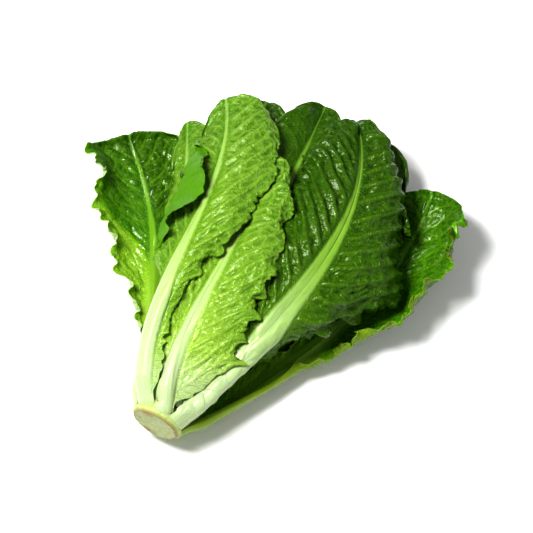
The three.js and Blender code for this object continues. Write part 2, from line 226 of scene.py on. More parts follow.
def points_of(mesh: bpy.types.Mesh) -> np.ndarray:
    """The places of a mesh's vertices."""
    places = np.empty(len(mesh.vertices) * 3)
    mesh.vertices.foreach_get("co", places)
    return places.reshape(-1, 3)


def corners_of(mesh: bpy.types.Mesh) -> np.ndarray:
    """The vertex at each corner of each face of a mesh."""
    corners = np.empty(len(mesh.loops), dtype=np.int64)
    mesh.loops.foreach_get("vertex_index", corners)
    return corners


def add_mask(mesh: bpy.types.Mesh, name: str, values: np.ndarray) -> None:
    """Gives each vertex of a mesh a value that materials read by its name."""
    layer = mesh.attributes.new(name, "FLOAT", "POINT")
    layer.data.foreach_set("value", values.astype(np.float32))


def finished(mesh: bpy.types.Mesh, name: str) -> bpy.types.Object:
    """Turns a closed mesh's faces outwards, smooths them, and puts the mesh in the scene.

    Args:
        mesh: The mesh.
        name: The piece's name.

    Returns:
        The piece.
    """
    shell = bmesh.new()
    shell.from_mesh(mesh)
    bmesh.ops.recalc_face_normals(shell, faces=shell.faces[:])
    if shell.calc_volume(signed=True) < 0:
        bmesh.ops.reverse_faces(shell, faces=shell.faces[:])
    shell.to_mesh(mesh)
    shell.free()
    mesh.polygons.foreach_set("use_smooth", [True] * len(mesh.polygons))
    mesh.update()
    piece = bpy.data.objects.new(name, mesh)
    bpy.context.scene.collection.objects.link(piece)
    return piece


@dataclass
class Midrib:
    """The line of a leaf's midrib, measured along its length.

    Args:
        corners: The four points that draw the curve.
        steps: How many chords it is measured in.
        nearby: How far before and after a point its heading is taken, as a share.
        reached: The length up to the end of each chord.
    """

    corners: np.ndarray
    steps: int = 200
    nearby: float = 1e-4
    reached: np.ndarray = field(init=False)

    def __post_init__(self) -> None:
        """Measures the curve."""
        points = self.place(np.linspace(0, 1, self.steps + 1))
        chords = np.linalg.norm(np.diff(points, axis=0), axis=1)
        self.reached = np.concatenate([[0.0], np.cumsum(chords)])

    @property
    def length(self) -> float:
        """The curve's whole length."""
        return float(self.reached[-1])

    def place(self, t: np.ndarray) -> np.ndarray:
        """The points at the curve's own parameter."""
        t = np.asarray(t)[..., None]
        a, b, c, d = self.corners
        return (1 - t) ** 3 * a + 3 * (1 - t) ** 2 * t * b + 3 * (1 - t) * t * t * c + t**3 * d

    def parameter(self, share: np.ndarray) -> np.ndarray:
        """The curve's parameter at a share of its length."""
        return np.interp(share * self.length, self.reached, np.linspace(0, 1, self.steps + 1))

    def at(self, share: np.ndarray) -> np.ndarray:
        """The points at a share of the length, or straight on before its start."""
        before = np.minimum(share, 0)[..., None] * self.length
        return self.place(self.parameter(share)) + self.heading(np.zeros(1)) * before

    def heading(self, share: np.ndarray) -> np.ndarray:
        """Which way the curve runs at a share of the length."""
        t = self.parameter(share)
        after = self.place(np.minimum(t + self.nearby, 1.0))
        return unit(after - self.place(np.maximum(t - self.nearby, 0.0)))


@dataclass
class Ceiling:
    """How low the leaves above reach at each place, on a square grid of cells.

    Args:
        cell: The width of a cell.
        reach: How far the grid goes each way.
        low: The height of the lowest leaf over each cell.
    """

    cell: float = 1.2
    reach: float = 400.0
    low: np.ndarray = field(init=False)

    def __post_init__(self) -> None:
        """Starts with nothing above."""
        side = int(2 * self.reach / self.cell) + 2
        self.low = np.full((side, side), np.inf)

    def cells(self, points: np.ndarray) -> tuple[np.ndarray, np.ndarray]:
        """The row and column of the cell over each point."""
        rows = np.rint((points[..., 1] + self.reach) / self.cell).astype(int)
        return rows, np.rint((points[..., 0] + self.reach) / self.cell).astype(int)

    def over(self, points: np.ndarray) -> np.ndarray:
        """The height of the lowest leaf over each point."""
        return self.low[self.cells(points)]

    def add(self, points: np.ndarray) -> None:
        """Takes in a grid of points, filled in between its rows and columns."""
        for _ in range(2):
            rows = np.empty((2 * len(points) - 1, points.shape[1], 3))
            rows[::2] = points
            rows[1::2] = (points[1:] + points[:-1]) / 2
            points = rows.transpose(1, 0, 2)
        np.minimum.at(self.low, self.cells(points), points[..., 2])


@dataclass
class Leaf:
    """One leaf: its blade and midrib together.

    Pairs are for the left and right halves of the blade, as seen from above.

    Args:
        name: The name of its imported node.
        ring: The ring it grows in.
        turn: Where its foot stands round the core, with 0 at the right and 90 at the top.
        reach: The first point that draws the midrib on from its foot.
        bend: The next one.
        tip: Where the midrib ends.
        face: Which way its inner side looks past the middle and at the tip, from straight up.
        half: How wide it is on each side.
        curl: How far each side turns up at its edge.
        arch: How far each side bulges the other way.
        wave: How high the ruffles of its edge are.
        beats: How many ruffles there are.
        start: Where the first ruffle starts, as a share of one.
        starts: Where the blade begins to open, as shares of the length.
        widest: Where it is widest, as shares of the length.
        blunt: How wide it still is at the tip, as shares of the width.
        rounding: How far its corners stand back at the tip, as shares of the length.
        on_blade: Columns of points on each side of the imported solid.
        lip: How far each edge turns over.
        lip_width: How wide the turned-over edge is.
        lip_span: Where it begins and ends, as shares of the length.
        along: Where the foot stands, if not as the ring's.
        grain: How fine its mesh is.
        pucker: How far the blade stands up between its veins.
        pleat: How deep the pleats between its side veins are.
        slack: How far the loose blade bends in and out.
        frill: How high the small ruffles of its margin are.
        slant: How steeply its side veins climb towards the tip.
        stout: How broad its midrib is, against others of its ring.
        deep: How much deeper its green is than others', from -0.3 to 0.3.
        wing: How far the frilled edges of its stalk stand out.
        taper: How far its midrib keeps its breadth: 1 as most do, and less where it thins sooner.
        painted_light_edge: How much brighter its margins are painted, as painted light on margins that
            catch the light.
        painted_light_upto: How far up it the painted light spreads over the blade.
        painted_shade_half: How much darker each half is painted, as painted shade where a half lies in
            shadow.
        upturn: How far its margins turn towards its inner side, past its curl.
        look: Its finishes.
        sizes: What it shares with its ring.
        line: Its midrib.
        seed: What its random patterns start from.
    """

    name: str
    ring: Ring
    turn: float
    reach: Point
    bend: Point
    tip: Point
    face: Pair
    half: Pair
    curl: Pair
    arch: Pair
    wave: float
    beats: int
    start: float
    starts: Pair = (0.05, 0.05)
    widest: Pair = (0.7, 0.7)
    blunt: Pair = (0.6, 0.6)
    rounding: Pair = (0.17, 0.17)
    on_blade: tuple[int, int] = (3, 3)
    lip: Pair = (0, 0)
    lip_width: float = 0
    lip_span: Pair = (0.4, 0.9)
    along: float | None = None
    grain: Grain = Grain.MEDIUM
    pucker: float = 1.0
    pleat: float = 0.5
    slack: float = 1.7
    frill: float = 1.4
    slant: Pair = (0.9, 0.9)
    stout: float = 1.0
    deep: float = 0.0
    wing: Pair = (0, 0)
    taper: float = 1.0
    painted_light_edge: Pair = (0, 0)
    painted_light_upto: float = 0.49
    painted_shade_half: Pair = (0, 0)
    upturn: Pair = (0, 0)
    look: "Look" = field(default_factory=lambda: Look.PALE_BACK)
    sizes: RingSizes = field(init=False)
    line: Midrib = field(init=False)
    seed: int = field(init=False)

    SECTION_STEPS = 24
    LIP_FOLD = 0.09
    LIP_FULL_WIDTH = 8.0
    LEAST_MARGIN = 0.1
    MOST_WRAP = 0.5
    WIDEST_FRILL = 7
    STALK_THINS_TO = 0.8
    OPENING_POWER = 0.85
    LIP_POWER = 0.8
    CORNER = 0.92
    TEETH_POWER = 6
    SKIRT_POWER = 2.5
    OTHER_HALF = 0.37

    # Where a feature begins and is full, as shares of the length.
    UNROLLS = (0.03, 0.42)
    LEANS = (0.5, 1)
    THINS = (0, 0.3)
    CURLS = (0.06, 0.4)
    BULGES = (0.15, 0.5)
    RUFFLES = (0.22, 0.5)
    THICK_FOOT = (0, 0.07)
    TEETH_BEGIN, TEETH_END = (0.14, 0.26), (0.50, 0.62)
    FRINGE_BEGINS = (0.1, 0.25)
    FRILLS_BEGIN, FRILLS_END = (0.02, 0.06), (0.2, 0.34)
    SKIRT_BEGINS, SKIRT_ENDS = (0.015, 0.06), (0.18, 0.36)

    # The gap between the small features of a margin, and their height as a share of the width.
    SMALL_TEETH = (3.6, 0.016)
    LARGE_TEETH = (12.0, 0.03)
    TEETH = (8.6, 0.04)
    LOBES = (21.0, 0.05)
    SMALL_FRILLS = (3.6, 0.3)
    FRILLS = (6.3, 0.3)

    def __post_init__(self) -> None:
        """Draws the midrib from the foot on the core."""
        self.sizes = RING_SIZES[self.ring]
        radius = self.sizes.radius + CORE_GAP
        turn = math.radians(self.turn)
        along = self.sizes.along if self.along is None else self.along
        foot = (radius * math.cos(turn), along, AXIS_HEIGHT + radius * math.sin(turn))
        self.line = Midrib(np.array([foot, self.reach, self.bend, self.tip], float))
        self.seed = sum(ord(letter) * (k + 3) for k, letter in enumerate(self.name)) % 997

    @property
    def faces_down(self) -> bool:
        """Whether the leaf's inner side looks down, so that its back shows."""
        return abs(self.face[0]) > 90

    def facing(self, s: np.ndarray) -> np.ndarray:
        """Which way the inner side looks at s: at the core from its foot, then as face says."""
        turn = math.radians(self.turn)
        at_foot = math.degrees(math.atan2(-math.cos(turn), -math.sin(turn)))
        nearest = at_foot + 360 * math.floor((self.face[0] - at_foot) / 360 + 0.5)
        unrolled = mix(nearest, self.face[0], ease(s, *self.UNROLLS))
        return np.radians(mix(unrolled, self.face[1], ease(s, *self.LEANS)))

    def lip_at(self, s: np.ndarray, side: int) -> np.ndarray:
        """How wide the turned-over edge is at s."""
        if not self.lip[side]:
            return np.zeros_like(s)
        share = np.clip((s - self.lip_span[0]) / (self.lip_span[1] - self.lip_span[0]), 0, 1)
        return self.lip_width * np.abs(np.sin(np.pi * share)) ** self.LIP_POWER

    def blade_width(self, s: np.ndarray, side: int) -> np.ndarray:
        """Half the blade's width at s, without the turned-over edge."""
        stalk = self.sizes.stalk * mix(1, self.STALK_THINS_TO, ease(s, *self.THINS))
        widest = self.widest[side]
        opening = ease(s, self.starts[side], widest) ** self.OPENING_POWER
        closing = np.clip((s - widest) / (1 - widest), 0, 1) ** 2
        return (stalk + (self.half[side] - stalk) * opening) * mix(1, self.blunt[side], closing)

    def half_width(self, s: np.ndarray, side: int) -> np.ndarray:
        """All of the width on one side at s."""
        return self.blade_width(s, side) + self.lip_at(s, side)

    def turned(self, s: np.ndarray, side: int, share: np.ndarray) -> np.ndarray:
        """How far the blade has turned up at a share of the half width, in radians."""
        width = self.half_width(s, side)
        wrap = np.minimum(width / (self.sizes.radius + CORE_GAP), self.MOST_WRAP)
        curl = mix(wrap, math.radians(self.curl[side]), ease(s, *self.CURLS))
        fold = self.blade_width(s, side) / width
        share_of_lip = np.clip((share - fold + self.LIP_FOLD) / (2 * self.LIP_FOLD), 0, 1)
        lip = math.radians(self.lip[side]) * share_of_lip**2 * (3 - 2 * share_of_lip)
        return curl * share - lip * self.folded(s, side)

    def folded(self, s: np.ndarray, side: int) -> np.ndarray:
        """How fully the edge is turned over at s, from 0 to 1."""
        return np.minimum(1, self.lip_at(s, side) / self.LIP_FULL_WIDTH)

    def past_fold(self, s: np.ndarray, side: int, share: np.ndarray) -> np.ndarray:
        """How far the teeth widen the half at a share of it: all of it, or only a folded margin."""
        fold = self.blade_width(s, side) / self.half_width(s, side)
        return mix(1, (share > fold) / np.maximum(1 - fold, self.LEAST_MARGIN), self.folded(s, side))

    def tooth(self, s: np.ndarray) -> np.ndarray:
        """The teeth of the lower edge, as a share of the width."""
        fade = ease(s, *self.TEETH_BEGIN) - ease(s, *self.TEETH_END)
        beat = (1 - np.cos(np.pi * s * (self.sizes.rows - 1))) / 2
        return 0.07 * fade * (2 * beat**2.6 - 1) * (1.6 - s)

    def fringe(self, s: np.ndarray, side: int) -> np.ndarray:
        """The small uneven teeth all along the margin, as a share of the width."""
        small, small_height = self.ripple(s, self.SMALL_TEETH, 3 * side, Noise.SMALL_TEETH)
        large, large_height = self.ripple(s, self.LARGE_TEETH, 5 * side, Noise.LARGE_TEETH)
        lobes, lobe_height = self.ripple(s, self.LOBES, 7 * side, Noise.LOBES)
        gap, height = self.TEETH
        sawn = 1 - 2 * np.abs(np.mod(s * self.line.length / gap + 0.8 * large, 1.0) - 0.35) / 0.65
        edge = small_height * small + large_height * large + height * sawn + lobe_height * lobes
        return edge * ease(s, *self.FRINGE_BEGINS) * (1.5 - s)

    def ripple(self, s: np.ndarray, feature: Pair, row: int, noise: Noise) -> tuple[np.ndarray, float]:
        """Random hills along a margin.

        Args:
            s: Shares of the length, from the foot.
            feature: The gap between the hills, and their height.
            row: Which row of the pattern is read, so that the two halves differ.
            noise: Which pattern it is.

        Returns:
            The hills, from -1 to 1, and their height.
        """
        gap, height = feature
        along = s * self.line.length
        return rolling(along / gap, along * 0 + row, self.seed + noise), height

    def frilled(self, s: np.ndarray, side: int) -> np.ndarray:
        """The frills of the thin edge beside the stalk, as a share of the width."""
        stalk = ease(s, *self.FRILLS_BEGIN) - ease(s, *self.FRILLS_END)
        small, small_height = self.ripple(s, self.SMALL_FRILLS, 3 * side, Noise.SMALL_TEETH)
        large, height = self.ripple(s, self.FRILLS, 9 * side, Noise.FRILLS)
        frills = small_height * small + height * large
        return min(self.wing[side], self.WIDEST_FRILL) * stalk * frills / self.half_width(s, side)

    def skirt(self, s: np.ndarray, side: int) -> np.ndarray:
        """The thin frilled edge that runs down beside the stalk, as a share of the width."""
        stalk = ease(s, *self.SKIRT_BEGINS) - ease(s, *self.SKIRT_ENDS)
        return 0.7 * self.wing[side] * stalk / self.half_width(s, side)

    def half_face(self, s: np.ndarray, share: np.ndarray, side: int, fringed: bool) -> np.ndarray:
        """Points on the inner side of one half of the leaf, before it is laid on the others.

        Args:
            s: Shares of the length, from the foot.
            share: Shares of the half width, from the midrib.
            side: 0 for the left half and 1 for the right.
            fringed: Whether the small teeth of the margin are drawn.

        Returns:
            A grid of points.
        """
        at = s - self.rounding[side] * s**5 * (1 - np.sqrt(1 - self.CORNER * share * share))
        centre, along = self.line.at(at), self.line.heading(at)
        upward = unit(UP - along * along[..., 2:3])
        right = np.cross(along, upward)
        look = self.facing(at)[..., None]
        inward = upward * np.cos(look) + right * np.sin(look)
        across = np.cross(along, inward) * (1 if side else -1) * (-1 if self.faces_down else 1)
        edge = self.tooth(s)
        if fringed:
            opened = ease(self.half_width(s, side) / self.shown_rib(s), 1.05, 1.9)
            edge = (1.5 * edge + self.fringe(s, side)) * opened + self.frilled(s, side)
        skirt = self.skirt(s, side) * share**self.SKIRT_POWER if fringed else 0
        width = self.half_width(s, side)
        step = share / self.SECTION_STEPS
        out, rise = np.zeros_like(s), np.zeros_like(s)
        for k in range(self.SECTION_STEPS):
            place = (k + 0.5) * step
            turned = self.turned(s, side, place)
            toothed = edge * share**self.TEETH_POWER * (self.past_fold(s, side, place) if fringed else 1)
            out += width * (1 + toothed + skirt) * step * np.cos(turned)
            rise += width * (1 + toothed + skirt) * step * np.sin(turned)
        turned = self.turned(s, side, share)
        bulge = self.arch[side] * np.sin(np.pi * share) * ease(s, *self.BULGES)
        phase = 2 * np.pi * (self.beats * s + self.start + self.OTHER_HALF * side)
        raised = self.wave * share**3 * np.sin(phase) * ease(s, *self.RUFFLES) - bulge
        out, rise = out - raised * np.sin(turned), rise + raised * np.cos(turned)
        return centre + across * out[..., None] + inward * rise[..., None]

    def rib_half(self, s: np.ndarray) -> np.ndarray:
        """Half the midrib's width at s."""
        return self.sizes.stalk * mix(0.94, 0.16, np.maximum(s, 0) ** 0.8)

    def shown_rib(self, s: np.ndarray) -> np.ndarray:
        """Half the width of the midrib as it shows, which stays broad and then thins quickly."""
        stations, widths = (0, 0.15, 0.35, 0.55, 0.75, 1), (1.1, 1.05, 0.92, 0.66, 0.3, 0.12)
        breadth = np.interp(np.maximum(s, 0) ** self.taper, stations, widths)
        return self.sizes.stalk * self.stout * breadth

    def rib_height(self, s: np.ndarray) -> np.ndarray:
        """How far the midrib stands out of the blade's back at s."""
        rib = self.sizes.rib
        return rib * (1 - s) ** 1.2 * mix(FOOT_THICKNESS / rib, 1, ease(s, *self.THICK_FOOT))

    def solid_shares(self, s: float, side: int) -> list[float]:
        """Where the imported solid's columns of points stand at s, as shares of the half width."""
        place = np.array([s])
        width = float(self.half_width(place, side)[0])
        rib = min(float(self.rib_half(place)[0]) / width, 0.92)
        on_rib = [0.55 * rib, rib] if self.sizes.on_rib > 1 else [rib]
        if not self.lip[side]:
            steps = self.on_blade[side]
            return on_rib + [mix(rib, 1, (i + 1) / steps) for i in range(steps)]
        fold = min(float(self.blade_width(place, side)[0]) / width, 0.86)
        return on_rib + [mix(rib, fold, 0.5), fold - 0.09, fold - 0.02, fold + 0.05, (fold + 1) / 2, 1]

    def solid_columns(self, s: float) -> np.ndarray:
        """All the solid's columns at s, from -1 at the left edge to 1 at the right edge."""
        left = [-share for share in reversed(self.solid_shares(s, 0))]
        return np.array([*left, 0.0, *self.solid_shares(s, 1)])


@dataclass
class Relief:
    """The fine shape of a blade at each point, from 0 to 1.

    Args:
        rib: The midrib.
        vein: The side veins.
        net: The net of small veins.
        dome: The puckers between them.
        pleat: The pleats between the side veins.
    """

    rib: np.ndarray
    vein: np.ndarray
    net: np.ndarray
    dome: np.ndarray
    pleat: np.ndarray


@dataclass
class LeafPiece:
    """The fine mesh of one leaf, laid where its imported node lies.

    Args:
        leaf: The leaf.
        shift: From the place where the leaves are drawn to their place in the row.
        rest_gap: The least gap between this leaf and one above it.
        root_end: How near to the cut an outer leaf's foot runs on.
        pressing: How far round a pressed place the leaf gives way.
        least_gap: How high over the floor its upper side stays.
        same_place: How near a packed point lies to where it is looked for.
    """

    leaf: Leaf
    shift: np.ndarray
    rest_gap: float = 0.15
    root_end: float = 0.6
    pressing: float = 7.0
    least_gap: float = 0.6
    same_place: float = 0.03

    LIP_BEGINS = (0.0, 0.06)
    BY_LIP = (0.15, 0.5)
    RIB_EDGE = (0.82, 1.1)
    OFF_RIB = (0.85, 1.7)

    def __post_init__(self) -> None:
        """Spreads the rows and columns of the mesh over the leaf, and measures where each point is."""
        leaf, spacing = self.leaf, self.leaf.grain.value
        s = np.linspace(0, 1, 60)
        widths = [float(leaf.half_width(s, side).max()) for side in (0, 1)]
        self.rows = int(leaf.line.length / spacing)
        self.left, self.right = (int(width / spacing) + 4 for width in widths)
        t = np.concatenate([np.linspace(-1, 0, self.left + 1)[:-1], np.linspace(0, 1, self.right + 1)])
        root = leaf.line.corners[0, 1] - self.root_end if leaf.ring is Ring.OUTER else 0.0
        start = -root / leaf.line.length
        self.s, self.t = np.meshgrid(np.linspace(start, 1, self.rows + 1), t, indexing="ij")

        self.share = np.abs(self.t)
        self.along = self.s * leaf.line.length
        skirt = self.by_side(leaf.skirt) * self.share**leaf.SKIRT_POWER
        self.out = self.share * self.by_side(leaf.half_width) * (1 + skirt)
        self.rib_half = leaf.shown_rib(self.s)
        self.beyond = np.maximum(self.out - self.rib_half, 0)
        self.blade = ease(self.beyond, 0.5, 4) * ease(self.s, 0.05, 0.2)
        self.margin = np.maximum(self.share, ease(self.s, 0.86, 1.0) * 0.999)

    def by_side(self, rule: Callable[[np.ndarray, int], np.ndarray]) -> np.ndarray:
        """What a rule of the leaf gives at each point, for the half that the point is on."""
        return np.where(self.t < 0, rule(self.s, 0), rule(self.s, 1))

    def of_half(self, pair: Pair) -> np.ndarray:
        """The value of each point's own half."""
        return np.where(self.t < 0, *pair)

    def noise(self, which: Noise, along: float, across: float) -> np.ndarray:
        """Random hills over the blade.

        Args:
            which: Which pattern it is.
            along: How far apart the hills are along the leaf.
            across: How far apart they are across it.

        Returns:
            The hills, from -1 to 1.
        """
        return rolling(self.along / along, self.out / across, self.leaf.seed + which)

    def drawn(self) -> np.ndarray:
        """The inner side's points as they are drawn, before the leaf is laid down."""
        halves = (slice(None, self.left), slice(self.left, None))
        faces = [
            self.leaf.half_face(self.s[:, half], self.share[:, half], side, True)
            for side, half in enumerate(halves)
        ]
        return np.concatenate(faces, axis=1)

    def lifts(self) -> np.ndarray:
        """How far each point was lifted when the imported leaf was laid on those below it.

        The solid's own points lie straight above where they are drawn, so each is found by its
        place seen from above, and the lifts between them are filled in.

        Returns:
            A height for each point of the mesh.
        """
        leaf = self.leaf
        vertices = [vertex.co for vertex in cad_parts[leaf.name].data.vertices]
        tree = KDTree(len(vertices))
        for k, co in enumerate(vertices):
            tree.insert((co.x, co.y, 0.0), k)
        tree.balance()
        rows = leaf.sizes.rows
        columns = np.array([leaf.solid_columns(i / (rows - 1)) for i in range(rows)])
        s = np.repeat(np.linspace(0, 1, rows)[:, None], columns.shape[1], axis=1)
        middle = columns.shape[1] // 2 if leaf.lip[0] == 0 else len(leaf.solid_shares(0.5, 0))
        left = leaf.half_face(s[:, :middle], -columns[:, :middle], 0, False)
        right = leaf.half_face(s[:, middle:], columns[:, middle:], 1, False)
        points = np.concatenate([left, right], axis=1)
        lifts = np.full(points.shape[:2], np.nan)
        for i, j in np.ndindex(lifts.shape):
            x, y, z = points[i, j] * MM + self.shift
            near = tree.find_range((x, y, 0.0), self.same_place * MM)
            if near:
                found = vertices[min(near, key=lambda hit: hit[2])[1]]
                lifts[i, j] = (found.z - z) / MM
        missing = np.isnan(lifts)
        LOG.info("%s: %d of %d points found", leaf.name, (~missing).sum(), missing.size)
        known = blurred(np.where(missing, 0.0, lifts), 3)
        weight = blurred(np.where(missing, 1e-9, 1.0), 3)
        lifts[missing] = (known / weight)[missing]
        return self.filled_in(lifts, columns)

    def filled_in(self, lifts: np.ndarray, columns: np.ndarray) -> np.ndarray:
        """The lifts of the solid's points, spread over the mesh's points.

        Args:
            lifts: A height for each point of the solid.
            columns: Where its columns of points stand.

        Returns:
            A height for each point of the mesh.
        """
        rows = lifts.shape[0]
        place = self.s[:, 0] * (rows - 1)
        low = np.clip(np.floor(place).astype(int), 0, rows - 2)
        share = np.clip(place - low, 0, 1)[:, None]
        before, after = lifts[np.maximum(low - 1, 0)], lifts[np.minimum(low + 2, rows - 1)]
        start, end = lifts[low], lifts[low + 1]
        slope_in, slope_out = (end - before) / 2, (after - start) / 2
        bent = (
            (2 * share**3 - 3 * share**2 + 1) * start
            + (share**3 - 2 * share**2 + share) * slope_in
            + (-2 * share**3 + 3 * share**2) * end
            + (share**3 - share**2) * slope_out
        )
        spread = np.empty(self.s.shape)
        for i, at in enumerate(self.s[:, 0]):
            spread[i] = np.interp(self.t[0], self.leaf.solid_columns(float(at)), bent[i])
        return blurred(spread, 3)

    def foot(self) -> np.ndarray:
        """How far each point is down the foot's run to the cut, from 0 where the solid starts to 1."""
        return (np.minimum(self.s, 0) / min(float(self.s[0, 0]), -1e-6)) ** 2

    def on_lip(self) -> np.ndarray:
        """How far each point is on the turned-over edge, from 0 to 1."""
        fold = self.by_side(self.leaf.blade_width) / self.by_side(self.leaf.half_width)
        return ease(self.share - fold, *self.LIP_BEGINS) * (self.of_half(self.leaf.lip) > 0)

    def by_lip(self) -> np.ndarray:
        """How much each point belongs to a half whose margin is folded over."""
        return (self.of_half(self.leaf.lip) > 0) * ease(self.share, *self.BY_LIP)

    def warp(self) -> np.ndarray:
        """How far each point's veins stray along the leaf."""
        wide = rolling(self.along / 34, self.t * 1.7, self.leaf.seed + Noise.WARP)
        return 5.0 * wide + 2.4 * self.noise(Noise.FINE_WARP, 13, 13)

    def veins(self) -> tuple[np.ndarray, np.ndarray]:
        """The side veins and the pleats between them, each from 0 to 1."""
        beyond, slant = self.beyond, self.of_half(self.leaf.slant)
        climb = self.along - slant * beyond - 0.006 * beyond**2 + self.warp()
        fan = climb / VEIN_GAP + 0.31 * (self.t < 0)
        from_vein = np.abs(fan - np.rint(fan)) * VEIN_GAP * 0.75
        thinning = mix(1, 0.5, self.share)
        vein = np.exp(-((from_vein / mix(1.5, 0.8, self.share)) ** 2)) * self.blade * thinning
        pleat = np.minimum(from_vein / (0.34 * VEIN_GAP), 1) ** 0.9
        rucks = (0.5 - 0.5 * np.cos(6 * np.pi * fan)) * np.exp(-beyond / 14)
        uneven = 0.65 + 0.35 * self.noise(Noise.PLEAT, 26, 30)
        return vein, (pleat + 0.4 * rucks) * self.blade * ease(beyond, 0.5, 7) * uneven

    def branches(self) -> np.ndarray:
        """The small branches between the side veins, from 0 to 1."""
        branch = (self.along + 0.25 * self.beyond + 1.6 * self.warp()) / BRANCH_GAP
        from_branch = np.abs(branch - np.rint(branch)) * BRANCH_GAP
        return 0.5 * np.exp(-((from_branch / 0.9) ** 2)) * self.blade * ease(self.share, 0.08, 0.3)

    def cells(self) -> tuple[np.ndarray, np.ndarray]:
        """The net of small veins and the puckers between them, each from 0 to 1."""
        drift = 4.5 * self.noise(Noise.DRIFT, 24, 22) + 1.6 * self.noise(Noise.FINE_DRIFT, 9, 9)
        across, lean, seed = self.beyond + drift, self.along - 0.6 * self.beyond, self.leaf.seed
        left = 40 * (self.t < 0)
        wide = cell_edges(across / 9.6 + left, (lean + drift) / 6.6, seed + Noise.WIDE_NET)
        narrow = cell_edges(across / 5.2 + 2 * left, (lean - drift) / 4.2, seed + Noise.NARROW_NET)
        net = np.maximum(np.exp(-((wide / 0.24) ** 2)), 0.45 * np.exp(-((narrow / 0.3) ** 2)))
        swell = 0.6 + 0.4 * rolling(self.along / 33, self.out / 27 + 5, seed + Noise.SWELL)
        return net * self.blade, (ease(wide, 0.0, 0.7) * 0.84 + ease(narrow, 0.0, 0.7) * 0.16) * swell

    def relief(self) -> Relief:
        """The midrib, veins and puckers of the blade."""
        rib = (1 - ease(self.out / self.rib_half, *self.RIB_EDGE)) * mix(1, 0.5, ease(self.s, 0.6, 1))
        vein, pleat = self.veins()
        branches = self.branches()
        net, dome = self.cells()
        net = np.maximum(net, branches)
        dome = dome * (1 - 0.7 * np.maximum(vein, branches)) * self.blade
        plain = 1 - self.on_lip()
        net, dome = net * mix(0.35, 1, plain), dome * mix(0.25, 1, plain)
        return Relief(rib, vein * plain, net, dome, pleat * plain)

    def crumple(self, relief: Relief) -> np.ndarray:
        """How far the whole sheet moves towards its inner side at each point."""
        leaf, seed, along = self.leaf, self.leaf.seed, self.along
        out = self.t * 50
        opened = ease(self.s, 0.16, 0.4)
        bends = rolling(along / 27, out / 24, seed + Noise.BEND)
        bends = bends + 0.5 * rolling(along / 13, out / 12, seed + Noise.FINE_BEND)
        bends = leaf.slack * bends
        beat = np.sin(2 * np.pi * along / 17 + 2.6 * rolling(along / 30, out / 60, seed + Noise.RUFFLE))
        ruffle = leaf.frill * (ease(self.margin, 0.72, 1.0) ** 1.5 * opened) * beat
        loose = ease(self.margin, 0.25, 1.0) * opened
        slanted = (along - 0.5 * np.abs(out)) / 15 + 0.4 * bends
        bent = rolling(slanted, out / 19 + 0.02 * along, seed + Noise.CREASE)
        crease = (1 - np.abs(bent)) ** 4 * ease(self.share, 0.1, 0.35) * ease(self.s, 0.14, 0.3)
        folds = leaf.pucker * relief.dome + leaf.pleat * relief.pleat - 0.9 * leaf.pucker * crease
        turned = self.of_half(leaf.upturn) * ease(self.share, 0.74, 1.0) * ease(self.s, 0.16, 0.35)
        calm = 1 - 0.75 * self.by_lip()
        off_rib = ease(self.out / self.rib_half, *self.OFF_RIB)
        return off_rib * (folds + turned + (loose * bends + ruffle) * calm)

    @staticmethod
    def normals(points: np.ndarray, faces_down: bool) -> np.ndarray:
        """Which way the inner side looks at each point of a grid."""
        rows = np.empty_like(points)
        rows[1:-1] = points[2:] - points[:-2]
        rows[0], rows[-1] = points[1] - points[0], points[-1] - points[-2]
        columns = np.empty_like(points)
        columns[:, 1:-1] = points[:, 2:] - points[:, :-2]
        columns[:, 0] = points[:, 1] - points[:, 0]
        columns[:, -1] = points[:, -1] - points[:, -2]
        return unit(np.cross(columns, rows)) * (-1 if faces_down else 1)

    def outer_side(self, inner: np.ndarray, relief: Relief) -> np.ndarray:
        """The back of the leaf: each point moved through its thickness, with the midrib and veins."""
        share = np.minimum(self.out / (1.04 * self.rib_half), 1)
        ridge = self.leaf.rib_height(self.s) * (1 - share * share) ** 0.62
        strands = 0.05 * np.sin(share * 17 * np.sign(self.t)) * relief.rib * ease(self.s, 0.02, 0.1)
        sheet = mix(BLADE_THICKNESS, MARGIN_THICKNESS, ease(self.margin, 0.3, 1))
        raised = 0.8 * relief.vein + 0.16 * relief.net
        thin = 1 - 0.5 * self.by_lip()
        thickness = ((sheet + raised) * thin + ridge + strands) * (1 - 0.6 * self.foot())
        return inner - self.normals(inner, self.leaf.faces_down) * thickness[..., None]

    def laid(self, ceiling: Ceiling) -> tuple[np.ndarray, np.ndarray, Relief]:
        """Lays the leaf under those above it.

        Args:
            ceiling: What lies above, to which the leaf is added.

        Returns:
            The points of its inner side and of its back, and its relief.
        """
        inner = self.drawn()
        inner[..., 2] += self.lifts()
        relief = self.relief()
        push = self.crumple(relief) + self.foot() * FOOT_DIP
        inner = inner + self.normals(inner, self.leaf.faces_down) * push[..., None]
        held = ease(self.s, 0.0, 0.05)
        reach = int(self.pressing / self.leaf.grain.value)
        moved = 0.0
        for spread in [reach] * 2 + [reach // 2] * 6:
            need = np.zeros(self.s.shape)
            for side in (inner, self.outer_side(inner, relief)):
                need = np.maximum(need, side[..., 2] + self.rest_gap - ceiling.over(side))
            moved = max(moved, float((need * held).max()))
            if need.max() < 0.05:
                break
            inner[..., 2] -= blurred(widened(need, spread), 5 * spread) * held
        LOG.info("%s: pressed down by %.1f mm at most", self.leaf.name, moved)
        outer = self.outer_side(inner, relief)
        upper, lower = (outer, inner) if self.leaf.faces_down else (inner, outer)
        upper[..., 2] = np.maximum(upper[..., 2], self.least_gap)
        lower[..., 2] = np.maximum(lower[..., 2], 0.0)
        for side in (inner, outer):
            ceiling.add(side)
        return inner, outer, relief

